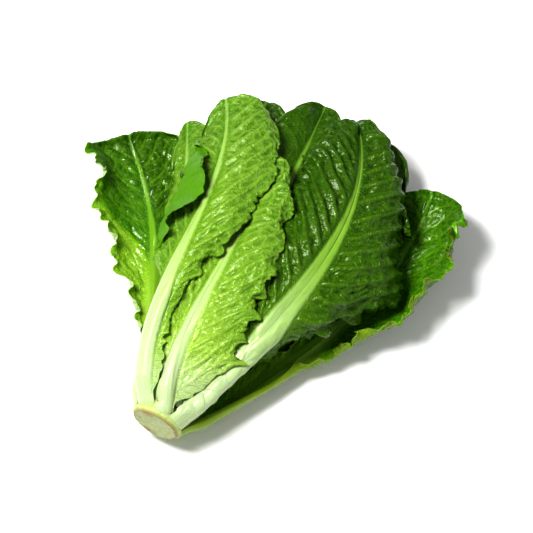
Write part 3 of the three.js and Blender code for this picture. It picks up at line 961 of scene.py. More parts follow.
    def build(self, ceiling: Ceiling, finishes: "Finishes") -> bpy.types.Object:
        """Makes the leaf's object.

        Args:
            ceiling: What lies above it.
            finishes: The materials of leaves.

        Returns:
            The finished piece.
        """
        inner, outer, relief = self.laid(ceiling)
        mesh = self.closed_sheet()
        flat = points_of(mesh)
        row = np.rint((flat[:, 1] + 0.5) * self.rows).astype(int)
        column = np.rint((flat[:, 0] + 0.5) * (self.left + self.right)).astype(int)
        is_back = flat[:, 2] < 0
        points = np.where(is_back[:, None], outer[row, column], inner[row, column])
        mesh.vertices.foreach_set("co", (points * MM + self.shift).ravel())
        for name, values in self.masks(relief).items():
            add_mask(mesh, name, values[row, column])
        self.unwrap(mesh, row, column)
        for finish in finishes.leaf_pair(self.leaf):
            mesh.materials.append(finish)
        firsts = np.empty(len(mesh.polygons), dtype=np.int64)
        mesh.polygons.foreach_get("loop_start", firsts)
        faces_back = np.maximum.reduceat(is_back[corners_of(mesh)].astype(np.int32), firsts)
        mesh.polygons.foreach_set("material_index", faces_back)
        return finished(mesh, self.leaf.name + "_blade")

    def closed_sheet(self) -> bpy.types.Mesh:
        """A flat sheet of the leaf's rows and columns, with a back just under it and a closed rim."""
        sheet = bmesh.new()
        bmesh.ops.create_grid(sheet, x_segments=self.left + self.right, y_segments=self.rows, size=0.5)
        copied = bmesh.ops.duplicate(sheet, geom=sheet.verts[:] + sheet.edges[:] + sheet.faces[:])
        back = [part for part in copied["geom"] if isinstance(part, bmesh.types.BMVert)]
        bmesh.ops.translate(sheet, verts=back, vec=(0, 0, -MM))
        bmesh.ops.bridge_loops(sheet, edges=[edge for edge in sheet.edges if edge.is_boundary])
        mesh = bpy.data.meshes.new(self.leaf.name)
        sheet.to_mesh(mesh)
        sheet.free()
        return mesh

    def masks(self, relief: Relief) -> dict[str, np.ndarray]:
        """What the materials read at each point.

        Args:
            relief: The blade's fine shape.

        Returns:
            The midrib, the veins, the net and the margin, the puckers and pleats that painted shade
            darkens, and how deep the green is, with painted light and painted shade folded in.
        """
        leaf = self.leaf
        # Painted light: the margins, and on some leaves the lower blade, are made brighter where they
        # catch the light.
        edge = 0.05 + 0.6 * ease(self.s, leaf.painted_light_upto - 0.13, leaf.painted_light_upto + 0.13)
        bright = self.of_half(leaf.painted_light_edge) * ease(self.share - edge, 0.0, 0.3)
        # Painted shade: a whole half is made a deeper green where it lies in shadow.
        dark = self.of_half(leaf.painted_shade_half) * ease(self.out / self.rib_half, 0.9, 2.2)
        return {
            "rib": relief.rib,
            "vein": relief.vein,
            "net": relief.net,
            "margin": self.margin,
            # Painted shade: where the puckers and pleats are darkened.
            "dome": np.clip(0.6 * relief.dome + 0.16 * leaf.pleat * relief.pleat, 0, 1),
            # How deep the green is along the leaf, with the painted light and painted shade folded in.
            "along": self.s + leaf.deep + dark - bright * ease(self.s, 0.15, 0.3),
        }

    def unwrap(self, mesh: bpy.types.Mesh, row: np.ndarray, column: np.ndarray) -> None:
        """Gives the mesh a UV map in metres, across from the midrib and along it.

        Args:
            mesh: The leaf's mesh.
            row: Each vertex's row.
            column: Each vertex's column.
        """
        across = (self.t * self.by_side(self.leaf.half_width) * MM)[row, column]
        along = (self.along * MM)[row, column]
        corners = corners_of(mesh)
        layer = mesh.uv_layers.new(name="leaf")
        layer.data.foreach_set("uv", np.stack([across[corners], along[corners]], axis=1).ravel())


def colour(red: int, green: int, blue: int) -> Colour:
    """A colour as the eye names it, from 0 to 255, made linear for the shader."""

    def linear(value: int) -> float:
        share = value / 255
        return share / 12.92 if share <= 0.04045 else ((share + 0.055) / 1.055) ** 2.4

    return (linear(red), linear(green), linear(blue), 1.0)


@dataclass(frozen=True)
class LeafFinish:
    """How one side of a leaf looks.

    Args:
        name: The material's name.
        foot: The blade's colour near the stem.
        blade: Its colour half way.
        tip: Its colour at the tip and the margin.
        rib: The midrib's colour at its foot.
        rib_end: The midrib's colour at its tip.
        vein: The veins' colour.
        veined: How plainly the veins show, from 0 to 1.
        roughness: How dull the blade is.
        coat: How much of a wax gloss it has.
        bump: How deep its fine relief is, in metres.
        coat_roughness: How dull that gloss is.
        specular: How much the blade itself shines.
        shine: The colour of that shine.
        glow: How much light passes through the tissue.
        glow_reach: How far each colour of it reaches, as shares of glow_depth.
        glow_depth: How deep it reaches, in metres.
    """

    name: str
    foot: Colour
    blade: Colour
    tip: Colour
    rib: Colour
    rib_end: Colour
    vein: Colour
    veined: float
    roughness: float
    coat: float
    bump: float
    coat_roughness: float = 0.16
    specular: float = 0.26
    shine: Colour = (0.7, 1.0, 0.25, 1.0)
    glow: float = 0.3
    glow_reach: Point = (0.6, 1.0, 0.08)
    glow_depth: float = 0.002


UPPER = LeafFinish(
    "leaf_upper", colour(140, 196, 14), colour(44, 108, 2), colour(16, 64, 0),
    colour(150, 190, 60), colour(112, 160, 30), colour(104, 158, 18), 0.7, 0.2, 0.3, 0.0006,
)
BRIGHT_UPPER = LeafFinish(
    "leaf_upper_bright", colour(112, 160, 4), colour(82, 138, 0), colour(74, 130, 0),
    colour(178, 206, 104), colour(116, 164, 26), colour(100, 160, 14), 0.5, 0.46, 0.02, 0.0003,
)
# The inner side of the lowest leaves. Its midrib colours are painted a deeper green than the upper
# finish's, as painted shade on stalks that lie low in shadow.
LOW_UPPER = LeafFinish(
    "leaf_upper_low", colour(124, 190, 10), colour(50, 124, 2), colour(18, 76, 0),
    colour(110, 150, 40), colour(92, 142, 20), colour(104, 156, 20), 0.75, 0.24, 0.1, 0.0005,
)
BACK = LeafFinish(
    "leaf_back", colour(158, 196, 66), colour(98, 146, 18), colour(70, 122, 6),
    colour(190, 210, 158), colour(166, 200, 104), colour(152, 190, 76), 0.66, 0.22, 0.12, 0.0008,
)
# The back of the leaves that lie in shade: a darker copy of the back finish, partly their own deeper
# green and partly painted shade.
DEEP_SHADED_BACK = LeafFinish(
    "leaf_back_deep_shaded", colour(112, 152, 24), colour(46, 88, 2), colour(28, 70, 0),
    colour(190, 210, 158), colour(132, 176, 60), colour(86, 128, 18), 0.5, 0.24, 0.18, 0.0008,
)
LOW_BACK = LeafFinish(
    "leaf_back_low", colour(112, 144, 20), colour(48, 98, 2), colour(30, 76, 0),
    colour(128, 156, 34), colour(96, 138, 20), colour(82, 128, 12), 0.5, 0.3, 0.08, 0.0005,
)
HEART_FACE = LeafFinish(
    "leaf_heart_face", colour(214, 222, 120), colour(168, 192, 50), colour(112, 160, 20),
    colour(226, 232, 178), colour(196, 210, 104), colour(194, 210, 94), 0.5, 0.36, 0.04, 0.0003,
)


@dataclass(frozen=True)
class StemFinish:
    """How the cut stem looks.

    Args:
        pith: The two tones of its pith.
        vessels: The ring of vessels in the pith.
        rim: The browned rim of the cut.
        stain: The stain that is strongest low on the right.
        skin: The two tones of the skin round it.
        scars: The brown marks on the skin.
        specular: How much it shines.
        glow: How much light passes through it.
        glow_reach: How far each colour of it reaches, as shares of glow_depth.
        glow_depth: How deep it reaches, in metres.
    """

    pith: tuple[Colour, Colour] = (colour(164, 172, 126), colour(140, 150, 98))
    vessels: Colour = colour(150, 158, 88)
    rim: Colour = colour(122, 96, 44)
    stain: Colour = colour(132, 98, 44)
    skin: tuple[Colour, Colour] = (colour(174, 188, 118), colour(148, 166, 84))
    scars: Colour = colour(150, 126, 66)
    specular: float = 0.3
    glow: float = 0.15
    glow_reach: Point = (1.0, 0.8, 0.4)
    glow_depth: float = 0.002


STEM = StemFinish()
# Painted shade: the deep green that the puckers and pleats are darkened towards, standing in for the
# shade in their hollows.
PAINTED_PUCKER_SHADE: Colour = (0.02, 0.075, 0.0, 1.0)  # The dark green that puckers lean towards.
FLOOR_TINT: Colour = (0.94, 0.94, 0.93, 1.0)


class Look(Enum):
    """The finishes of a leaf's inner side and of its back."""

    PALE_BACK = (UPPER, BACK)
    DEEP_SHADED_BACK = (UPPER, DEEP_SHADED_BACK)
    TURNED_EDGE = (BRIGHT_UPPER, BACK)
    LOW = (LOW_UPPER, LOW_BACK)
    HEART = (HEART_FACE, HEART_FACE)


@dataclass
class Wiring:
    """Adds nodes to a node tree and joins them.

    Args:
        tree: The node tree.
    """

    tree: bpy.types.NodeTree

    def add(self, kind: str, settings: dict | None = None, **inputs: object) -> bpy.types.Node:
        """Adds a node.

        Args:
            kind: The node's type.
            settings: Values of the node itself.
            inputs: A value or a socket for each input, its name with _ for a space, or a number
                after in_ for an input known by its place.

        Returns:
            The new node.
        """
        node = self.tree.nodes.new(kind)
        for name, value in (settings or {}).items():
            setattr(node, name, value)
        for name, value in inputs.items():
            key = int(name[3:]) if name.startswith("in_") else name.replace("_", " ")
            if isinstance(value, bpy.types.NodeSocket):
                self.tree.links.new(value, node.inputs[key])
            else:
                node.inputs[key].default_value = value
        return node

    def blend(self, share: object, a: object, b: object) -> bpy.types.NodeSocket:
        """Mixes two colours by a share, and returns the mixed one."""
        settings = {"data_type": "RGBA", "blend_type": "MIX"}
        return self.add("ShaderNodeMix", settings, in_0=share, in_6=a, in_7=b).outputs[2]

    def sum(self, kind: str, a: object, b: object = 0.5, c: object = 0.5) -> bpy.types.NodeSocket:
        """Works out one value from others, and returns it."""
        return self.add("ShaderNodeMath", {"operation": kind}, in_0=a, in_1=b, in_2=c).outputs[0]

    def step(
        self, value: object, low: float, high: float, start: float = 0.0, end: float = 1.0
    ) -> bpy.types.NodeSocket:
        """A smooth step from start at low to end at high."""
        settings = {"interpolation_type": "SMOOTHSTEP"}
        ends = {"in_1": low, "in_2": high, "in_3": start, "in_4": end}
        return self.add("ShaderNodeMapRange", settings, in_0=value, **ends).outputs[0]

    def noise(self, place: object, scale: float, detail: float, roughness: float = 0.5) -> bpy.types.Node:
        """A cloudy noise over the places given."""
        return self.add(
            "ShaderNodeTexNoise", Vector=place, Scale=scale, Detail=detail, Roughness=roughness
        )

    def net(self, place: object, scale: float, width: float) -> bpy.types.NodeSocket:
        """The lines of an irregular net over the places given, 1 on a line and 0 past its width."""
        settings = {"feature": "DISTANCE_TO_EDGE"}
        cells = self.add("ShaderNodeTexVoronoi", settings, Vector=place, Scale=scale)
        return self.step(cells.outputs[0], 0.02, width, 1.0, 0.0)

    def mask(self, name: str) -> bpy.types.NodeSocket:
        """A value that the mesh holds by name."""
        return self.add("ShaderNodeAttribute", {"attribute_name": name}).outputs["Fac"]


def new_group(
    name: str, inputs: dict[str, str], outputs: dict[str, str]
) -> tuple[bpy.types.NodeTree, Wiring]:
    """Starts a shader node group.

    Args:
        name: The group's name.
        inputs: Each input's name and kind of socket.
        outputs: Each output's name and kind of socket.

    Returns:
        The group and its wiring.
    """
    group = bpy.data.node_groups.new(name, "ShaderNodeTree")
    for way, sockets in (("INPUT", inputs), ("OUTPUT", outputs)):
        for label, kind in sockets.items():
            group.interface.new_socket(label, in_out=way, socket_type=kind)
    return group, Wiring(group)


def new_material(name: str) -> tuple[bpy.types.Material, Wiring]:
    """Starts a material with no nodes, and returns it with its wiring."""
    material = bpy.data.materials.new(name)
    material.use_nodes = True
    material.node_tree.nodes.clear()
    return material, Wiring(material.node_tree)


FLOAT, COLOUR, VECTOR = "NodeSocketFloat", "NodeSocketColor", "NodeSocketVector"


def leaf_surface_group() -> bpy.types.NodeTree:
    """The group that colours a leaf and gives it its fine net of veins."""
    inputs = {
        "Place": VECTOR, "Along": FLOAT, "Margin": FLOAT, "Rib": FLOAT, "Vein": FLOAT, "Net": FLOAT,
        "Dome": FLOAT, "Foot": COLOUR, "Blade": COLOUR, "Tip": COLOUR, "Rib colour": COLOUR,
        "Rib end": COLOUR, "Vein colour": COLOUR, "Veined": FLOAT, "Roughness": FLOAT,
    }
    outputs = {"Color": COLOUR, "Roughness": FLOAT, "Height": FLOAT}
    group, wire = new_group("leaf_surface", inputs, outputs)
    given = wire.add("NodeGroupInput").outputs
    place, along = given["Place"], given["Along"]
    patches = wire.noise(place, 38.0, 4.0, 0.6).outputs[0]
    tissue = wire.noise(place, 900.0, 3.0, 0.6).outputs[0]
    bent = wire.noise(place, 170.0, 2.0).outputs[1]
    bending = {"in_0": bent, "in_1": (0.0022, 0.0022, 0.0), "in_2": place}
    wander = wire.add("ShaderNodeVectorMath", {"operation": "MULTIPLY_ADD"}, **bending).outputs[0]
    threads = wire.net(wander, 420.0, 0.13)
    lines = wire.net(wander, 190.0, 0.12)

    unevenness = wire.sum("MULTIPLY_ADD", patches, 0.34, -0.17)
    depth = wire.sum("ADD", wire.sum("MULTIPLY_ADD", given["Margin"], 0.30, along), unevenness)
    low = wire.blend(wire.step(depth, 0.18, 0.62), given["Foot"], given["Blade"])
    body = wire.blend(wire.step(depth, 0.55, 1.12), low, given["Tip"])
    body = wire.blend(wire.step(along, 0.03, 0.2, 0.7, 0.0), body, given["Rib colour"])
    # Painted shade: the puckers and pleats are darkened towards a deep green by the Dome mask.
    body = wire.blend(wire.step(given["Dome"], 0.1, 0.9, 0.0, 0.55), body, PAINTED_PUCKER_SHADE)
    shown = wire.sum("MULTIPLY", wire.sum("MAXIMUM", lines, wire.sum("MULTIPLY", threads, 0.55)), 0.42)
    net = wire.sum("MAXIMUM", wire.sum("MULTIPLY", given["Net"], 0.7), shown)
    veins = wire.sum("MULTIPLY", wire.sum("MAXIMUM", given["Vein"], net), given["Veined"])
    body = wire.blend(veins, body, given["Vein colour"])
    rib = wire.blend(wire.step(along, 0.05, 0.6), given["Rib colour"], given["Rib end"])
    stretched = wire.add("ShaderNodeMapping", Vector=place, Scale=(1.0, 0.06, 1.0)).outputs[0]
    strands = wire.noise(stretched, 900.0, 3.0).outputs[0]
    rib = wire.blend(wire.step(strands, 0.42, 0.7, 0.0, 0.28), rib, given["Vein colour"])
    body = wire.blend(given["Rib"], body, rib)
    tone = wire.step(tissue, 0.25, 0.75, 0.72, 0.84)
    shaded = wire.add("ShaderNodeHueSaturation", Color=body, Value=tone).outputs[0]

    patchy = wire.sum("MULTIPLY_ADD", patches, 0.12, given["Roughness"])
    dull = wire.sum("SUBTRACT", wire.sum("MULTIPLY_ADD", tissue, 0.16, patchy), 0.14)
    off_rib = wire.sum("SUBTRACT", 1.0, given["Rib"])
    meshes = wire.sum("MULTIPLY_ADD", lines, 0.6, wire.sum("MULTIPLY", threads, 0.4))
    ridges = wire.sum("MULTIPLY", meshes, off_rib)
    grooves = wire.sum("MULTIPLY", wire.sum("MULTIPLY", strands, 0.5), given["Rib"])
    height = wire.sum("ADD", wire.sum("MULTIPLY_ADD", tissue, 0.18, ridges), grooves)
    wire.add("NodeGroupOutput", Color=shaded, Roughness=dull, Height=height)
    return group


@dataclass
class Finishes:
    """The materials, each made once.

    Args:
        surface: The node group of all leaves.
        made: The leaf materials made so far, by name.
    """

    surface: bpy.types.NodeTree = field(default_factory=leaf_surface_group)
    made: dict[str, bpy.types.Material] = field(default_factory=dict)

    def leaf(self, finish: LeafFinish, raised: bool) -> bpy.types.Material:
        """The material of one side of a leaf.

        Args:
            finish: Its colours and gloss.
            raised: Whether the fine veins stand out, as on the back, or are sunk.

        Returns:
            The material.
        """
        if finish.name in self.made:
            return self.made[finish.name]
        material, wire = new_material(finish.name)
        place = wire.add("ShaderNodeUVMap", {"uv_map": "leaf"}).outputs[0]
        names = ("along", "margin", "rib", "vein", "net", "dome")
        masks = {name.capitalize(): wire.mask(name) for name in names}
        group = wire.add(
            "ShaderNodeGroup", {"node_tree": self.surface}, Place=place, Foot=finish.foot,
            Blade=finish.blade, Tip=finish.tip, Rib_colour=finish.rib, Rib_end=finish.rib_end,
            Vein_colour=finish.vein, Veined=finish.veined, Roughness=finish.roughness, **masks,
        ).outputs
        bump = wire.add(
            "ShaderNodeBump", {"invert": not raised}, Strength=0.8, Distance=finish.bump,
            Height=group["Height"],
        )
        shader = wire.add(
            "ShaderNodeBsdfPrincipled", Base_Color=group["Color"], Roughness=group["Roughness"],
            Normal=bump.outputs[0], Subsurface_Weight=finish.glow, Subsurface_Radius=finish.glow_reach,
            Subsurface_Scale=finish.glow_depth, Specular_IOR_Level=finish.specular,
            Specular_Tint=finish.shine, Coat_Weight=finish.coat, Coat_Roughness=finish.coat_roughness,
        )
        wire.add("ShaderNodeOutputMaterial", Surface=shader.outputs[0])
        self.made[finish.name] = material
        return material

    def leaf_pair(self, leaf: Leaf) -> tuple[bpy.types.Material, bpy.types.Material]:
        """The materials of a leaf's inner side and of its back."""
        upper, back = leaf.look.value
        return self.leaf(upper, upper is back), self.leaf(back, True)

    @staticmethod
    def stem(finish: StemFinish) -> bpy.types.Material:
        """The material of the cut stem: pith, a ring of vessels, a browned rim, and skin round it.

        Args:
            finish: Its colours and gloss.

        Returns:
            The material.
        """
        material, wire = new_material("stem_cut")
        place = wire.add("ShaderNodeTexCoord").outputs["Object"]
        mottle = wire.noise(place, 260.0, 5.0, 0.65).outputs[0]
        patches = wire.noise(place, 70.0, 3.0).outputs[0]
        wavy = wire.sum("MULTIPLY_ADD", patches, 0.16, wire.mask("radius"))
        pith = wire.blend(wire.step(mottle, 0.3, 0.7), *finish.pith)
        ring = wire.sum("MULTIPLY", wire.step(wavy, 0.6, 0.72), wire.step(wavy, 0.74, 0.86, 1.0, 0.0))
        pith = wire.blend(wire.sum("MULTIPLY", ring, 0.55), pith, finish.vessels)
        pith = wire.blend(wire.step(wavy, 0.9, 1.06, 0.0, 0.85), pith, finish.rim)
        side = wire.add("ShaderNodeSeparateXYZ", Vector=place).outputs["X"]
        low_right = wire.sum("MULTIPLY", wire.step(side, -0.03, -0.004), wire.step(wavy, 0.5, 1.0))
        strength = wire.sum("MULTIPLY_ADD", low_right, 0.6, 0.2)
        stained = wire.sum("MULTIPLY", wire.step(patches, 0.44, 0.6), strength)
        pith = wire.blend(stained, pith, finish.stain)
        skin = wire.blend(wire.step(mottle, 0.3, 0.75), *finish.skin)
        skin = wire.blend(wire.step(patches, 0.56, 0.7, 0.0, 0.4), skin, finish.scars)
        tint = wire.blend(wire.mask("cut"), skin, pith)
        bump = wire.add("ShaderNodeBump", Strength=0.6, Distance=0.0006, Height=mottle)
        shader = wire.add(
            "ShaderNodeBsdfPrincipled", Base_Color=tint, Roughness=wire.step(mottle, 0.3, 0.7, 0.5, 0.68),
            Normal=bump.outputs[0], Subsurface_Weight=finish.glow, Subsurface_Radius=finish.glow_reach,
            Subsurface_Scale=finish.glow_depth, Specular_IOR_Level=finish.specular,
        )
        wire.add("ShaderNodeOutputMaterial", Surface=shader.outputs[0])
        return material

    @staticmethod
    def floor() -> bpy.types.Material:
        """The pale floor."""
        material, wire = new_material("floor_white")
        shader = wire.add("ShaderNodeBsdfPrincipled", Base_Color=FLOOR_TINT, Roughness=0.9)
        wire.add("ShaderNodeOutputMaterial", Surface=shader.outputs[0])
        return material


@dataclass
class StemCore:
    """The stem core, with its trimmed face and uneven skin.

    Args:
        shift: From the drawing's place to the row's, in metres.
        outline: Distances from the cut face, and radii.
        sides: How many steps it is turned in.
        cut_radius: The radius of the cut face.
        foot_half: Half of a stalk foot's turn round the core, in degrees.
        foot_height: How far a foot stands out.
        knife_depth: How deep the marks of the knife are.
        swell: How uneven the skin is, as a share of the radius.
        skin_upto: How far along the skin is uneven.
        skin_from: The least radius that counts as skin.
        knife_seed: The seed of the knife's marks.
        skin_seed: The seed of the skin's unevenness.
    """

    shift: np.ndarray
    outline: tuple[Pair, ...] = (
        (0.9, 0), (0.7, 9), (0.35, 14), (0.1, 16.4), (0, 17.6), (0.25, 18.4), (0.9, 19.0), (2.6, 20.1),
        (4.0, 20.4), (5.7, 20.3), (7.0, 20.1), (8.0, 19.8), (12, 18.4), (16, 14.8), (27, 13.4),
        (30, 10.6), (39, 9.6), (42, 6.6), (49, 4.2), (52, 0),
    )
    sides: int = 120
    cut_radius: float = 19.5
    foot_half: float = 30.0
    foot_height: float = 0.9
    knife_depth: float = 0.28
    swell: float = 0.006
    skin_upto: float = 8.1
    skin_from: float = 16.0
    knife_seed: int = 5
    skin_seed: int = 6

    def feet(self, angle: np.ndarray, along: np.ndarray) -> np.ndarray:
        """How far the feet of the outer stalks stand out of the core, down to the cut."""
        out = np.zeros_like(angle)
        for turn in (leaf.turn for leaf in LEAVES if leaf.ring is Ring.OUTER):
            off = np.degrees(np.abs(np.mod(angle - math.radians(turn) + np.pi, 2 * np.pi) - np.pi))
            round_foot = np.sqrt(np.clip(1 - (off / self.foot_half) ** 2, 0, 1))
            out = np.maximum(out, self.foot_height * round_foot)
        return out * ease(along, -3.0, 3.0) * (1 - ease(along, 4.0, 7.0))

    def turned(self) -> bpy.types.Mesh:
        """The outline turned round the core's axis, with the cut face in small faces."""
        core = bmesh.new()
        verts = [core.verts.new((radius, along, 0)) for along, radius in self.outline]
        for a, b in zip(verts, verts[1:]):
            core.edges.new((a, b))
        bmesh.ops.spin(
            core, geom=core.verts[:] + core.edges[:], axis=(0, 1, 0), cent=(0, 0, 0),
            angle=2 * math.pi, steps=self.sides, use_merge=True,
        )
        bmesh.ops.remove_doubles(core, verts=core.verts[:], dist=1e-4)
        at_cut = [edge for edge in core.edges if max(vert.co.y for vert in edge.verts) < 1.0]
        long_edges = [edge for edge in at_cut if edge.calc_length() > 2]
        bmesh.ops.subdivide_edges(core, edges=long_edges, cuts=4, use_grid_fill=True)
        core.verts.index_update()
        places = [tuple(vert.co) for vert in core.verts]
        # The turning makes the faces in another order in each run, so they are put in one order.
        faces = sorted(([vert.index for vert in face.verts] for face in core.faces), key=sorted)
        core.free()
        mesh = bpy.data.meshes.new("stem")
        mesh.from_pydata(places, [], faces)
        return mesh

    def build(self, finishes: Finishes) -> bpy.types.Object:
        """Makes the core's object, with knife marks on its face and an uneven skin."""
        mesh = self.turned()
        points = points_of(mesh)
        radius = np.hypot(points[:, 0], points[:, 2])
        angle = np.arctan2(points[:, 2], points[:, 0])
        cut = 1 - ease(points[:, 1], 0.5, 1.6)
        strokes = rolling(points[:, 0] / 5 + 9, points[:, 2] / 2.2 + 9, self.knife_seed)
        knife = self.knife_depth * strokes * cut
        points[:, 1] += np.where(points[:, 1] < 1.2, np.abs(knife), 0)
        swell = 1 - self.swell * (1 + rolling(angle * 6, points[:, 1] / 3, self.skin_seed))
        swell = swell + self.feet(angle, points[:, 1]) / np.maximum(radius, 1)
        is_skin = (points[:, 1] < self.skin_upto) & (radius > self.skin_from)
        points[:, [0, 2]] *= np.where(is_skin, swell, 1)[:, None]
        points[:, 2] += AXIS_HEIGHT
        mesh.vertices.foreach_set("co", (points * MM + self.shift).ravel())
        add_mask(mesh, "cut", cut)
        add_mask(mesh, "radius", radius / self.cut_radius)
        mesh.materials.append(finishes.stem(STEM))
        return finished(mesh, "stem")


LEAVES = (
    Leaf("leaf_under_left", Ring.OUTER, 240, (-24, 80, 1), (-54, 180, -2), (-72, 258, 6), (0, 0),
         (40, 50), (38, 10), (0, 3), 4, 5, 0.1, grain=Grain.COARSE, look=Look.LOW),
    Leaf("leaf_under_right", Ring.OUTER, 290, (15, 80, 1), (42, 180, -2), (58, 266, 6), (0, 0),
         (48, 44), (12, 34), (3, 0), 4, 6, 0.4, grain=Grain.COARSE, look=Look.LOW),
    Leaf("leaf_far_left", Ring.OUTER, 190, (-46, 76, 22), (-68, 150, 6), (-141, 212, 26), (10, 14),
         (46, 46), (36, 30), (4, 2), 5, 4, 0.7, starts=(0.2, 0.05), widest=(0.8, 0.8),
         blunt=(0.86, 0.85), rounding=(0, 0.1), grain=Grain.FINE, pucker=1.7, slack=3.2,
         frill=2.6, pleat=1.2, stout=0.8, taper=0.8, deep=-0.06, painted_light_edge=(0.75, 0),
         painted_light_upto=0.66, painted_shade_half=(0, 0.3)),
    Leaf("leaf_far_right", Ring.OUTER, 340, (46, 60, 20), (114, 184, 3), (93, 281, 30), (-14, -20),
         (46, 55), (30, 34), (4, 4), 5, 5, 0.2, starts=(0.05, 0.3), widest=(0.6, 0.74),
         blunt=(0.7, 0.75), rounding=(0.1, 0.1), grain=Grain.FINE, pucker=1.5,
         slack=2.6, frill=2.6, pleat=0.8, wing=(10, 0), painted_light_edge=(0.7, 0.8), upturn=(5, 5),
         look=Look.LOW),
    Leaf("leaf_second_low_left", Ring.SECOND, 225, (-18, 90, 12), (-56, 160, 12), (-84, 222, 22),
         (8, 12), (20, 42), (30, 30), (1, 3), 4, 5, 0.55, grain=Grain.COARSE),
    Leaf("leaf_second_low_right", Ring.SECOND, 310, (26, 90, 12), (66, 180, 12), (70, 258, 24),
         (-8, -16), (42, 34), (30, 34), (3, 3), 4, 6, 0.85, grain=Grain.COARSE),
    Leaf("leaf_third_low", Ring.THIRD, 265, (-4, 90, 20), (-14, 160, 18), (-16, 228, 26), (0, 0),
         (34, 34), (36, 36), (2, 2), 3, 5, 0.3, grain=Grain.COARSE),
    Leaf("heart_leaf_low", Ring.HEART, 250, (4, 90, 26), (10, 130, 26), (12, 176, 32), (0, 10),
         (22, 22), (50, 50), (1, 1), 2, 4, 0.1, on_blade=(2, 2), grain=Grain.COARSE, look=Look.HEART),
    Leaf("heart_leaf_high", Ring.HEART, 70, (-2, 90, 38), (-8, 130, 40), (-10, 182, 38), (180, 180),
         (24, 24), (50, 50), (1, 1), 2, 4, 0.6, on_blade=(2, 2), grain=Grain.COARSE, look=Look.HEART),
    Leaf("leaf_third_left", Ring.THIRD, 170, (-24, 90, 38), (-44, 160, 34), (-64, 232, 34), (60, 30),
         (20, 30), (34, 24), (2, 3), 4, 5, 0.25, grain=Grain.COARSE),
    Leaf("leaf_third_right", Ring.THIRD, 5, (30, 90, 38), (48, 170, 36), (48, 244, 36), (-50, -30),
         (34, 32), (30, 30), (3, 3), 4, 5, 0.5, grain=Grain.COARSE),
    Leaf("leaf_third_high", Ring.THIRD, 85, (2, 90, 50), (-4, 170, 54), (-8, 262, 46), (180, 172),
         (34, 38), (30, 34), (3, 3), 5, 5, 0.8, grain=Grain.COARSE),
    Leaf("leaf_second_left", Ring.SECOND, 163, (-32, 84, 48), (-58, 160, 40), (-103, 240, 34),
         (160, 170), (15, 40), (26, 24), (2, 4), 4, 5, 0.15),
    Leaf("leaf_second_right", Ring.SECOND, 14, (40, 84, 48), (72, 200, 44), (40, 298, 30),
         (-155, -165), (42, 44), (26, 30), (4, 4), 6, 7, 0.45, look=Look.DEEP_SHADED_BACK),
    Leaf("leaf_second_high_left", Ring.SECOND, 113, (-20, 84, 56), (-40, 190, 58), (-55, 281, 44),
         (175, 170), (40, 42), (30, 24), (4, 4), 5, 6, 0.65, look=Look.DEEP_SHADED_BACK),
    Leaf("leaf_second_high_right", Ring.SECOND, 64, (12, 84, 56), (4, 190, 62), (-11, 297, 48),
         (-175, -170), (42, 44), (24, 30), (4, 4), 5, 6, 0.95, deep=-0.2, look=Look.DEEP_SHADED_BACK),
    Leaf("leaf_top_right", Ring.OUTER, 35, (48, 94, 68), (86, 215, 82), (16, 298, 46), (-172, -165),
         (48, 64), (24, 50), (8, 9), 6, 5, 0.35, starts=(0.05, 0.26), widest=(0.7, 0.6),
         blunt=(0.75, 0.28), rounding=(0.14, 0.24), grain=Grain.FINE, pucker=2.0, slack=3.2,
         pleat=3.6, slant=(1.4, 0.75), stout=1.12, wing=(4, 5), look=Look.DEEP_SHADED_BACK),
    Leaf("leaf_top_middle", Ring.OUTER, 84, (-22, 75, 66), (0, 152, 78), (-23, 229, 60), (-175, -172),
         (28, 46), (20, 24), (3, 6), 6, 6, 0.05, along=10.5, starts=(0.05, 0), widest=(0.6, 0.28),
         blunt=(0.6, 0.5), grain=Grain.FINE, pucker=2.3, slack=2.6,
         pleat=1.8, stout=0.74, wing=(9, 15), deep=-0.05),
    Leaf("leaf_top_left", Ring.OUTER, 134, (-64, 84, 74), (-24, 184, 84), (-80, 260, 62), (165, 176),
         (27, 47), (24, 34), (0, 6), 5, 5, 0.5, starts=(0.3, 0.2), widest=(0.5, 0.86),
         blunt=(0.75, 0.85),
         on_blade=(6, 4), lip=(165, 0), lip_width=27, lip_span=(0.44, 0.9), along=10.5,
         grain=Grain.FINE, pucker=0.9, slack=3.4, slant=(1.1, 1.2), pleat=1.8,
         taper=0.72, wing=(0, 10), painted_shade_half=(0.6, 0), look=Look.TURNED_EDGE),
)


@dataclass
class Head:
    """The whole head: its stem core and its leaves, from the lowest to the topmost.

    Args:
        finishes: The materials.
        shift: From the drawing's place to the row's, in metres.
    """

    finishes: Finishes
    shift: np.ndarray = field(init=False)

    def __post_init__(self) -> None:
        """Finds where the drawing's origin lies in the row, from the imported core."""
        low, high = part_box("stem_core")
        self.shift = np.array([(low.x + high.x) / 2, low.y, (low.z + high.z) / 2 - AXIS_HEIGHT * MM])

    def build(self) -> None:
        """Makes each piece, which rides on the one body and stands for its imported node."""
        core = StemCore(self.shift).build(self.finishes)
        self.mount(core, "stem_core", "stem")
        ceiling = Ceiling()
        for leaf in reversed(LEAVES):
            piece = LeafPiece(leaf, self.shift).build(ceiling, self.finishes)
            self.mount(piece, leaf.name, leaf.sizes.slot)

    @staticmethod
    def mount(piece: bpy.types.Object, node: str, slot: str) -> None:
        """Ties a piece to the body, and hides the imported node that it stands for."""
        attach(piece, "root")
        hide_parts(node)
        LOG.info("%s stands for %s, %d faces", piece.name, node, len(piece.data.polygons))


@dataclass(frozen=True)
class Light:
    """A soft square light that looks at the head.

    Args:
        name: Its name.
        way: The way to it from the head, as shares of the picture's right, its up, and the way back.
        distance: How far off it is, in metres.
        size: Its side, in metres.
        power: Its power, in watts.
    """

    name: str
    way: Point
    distance: float
    size: float
    power: float


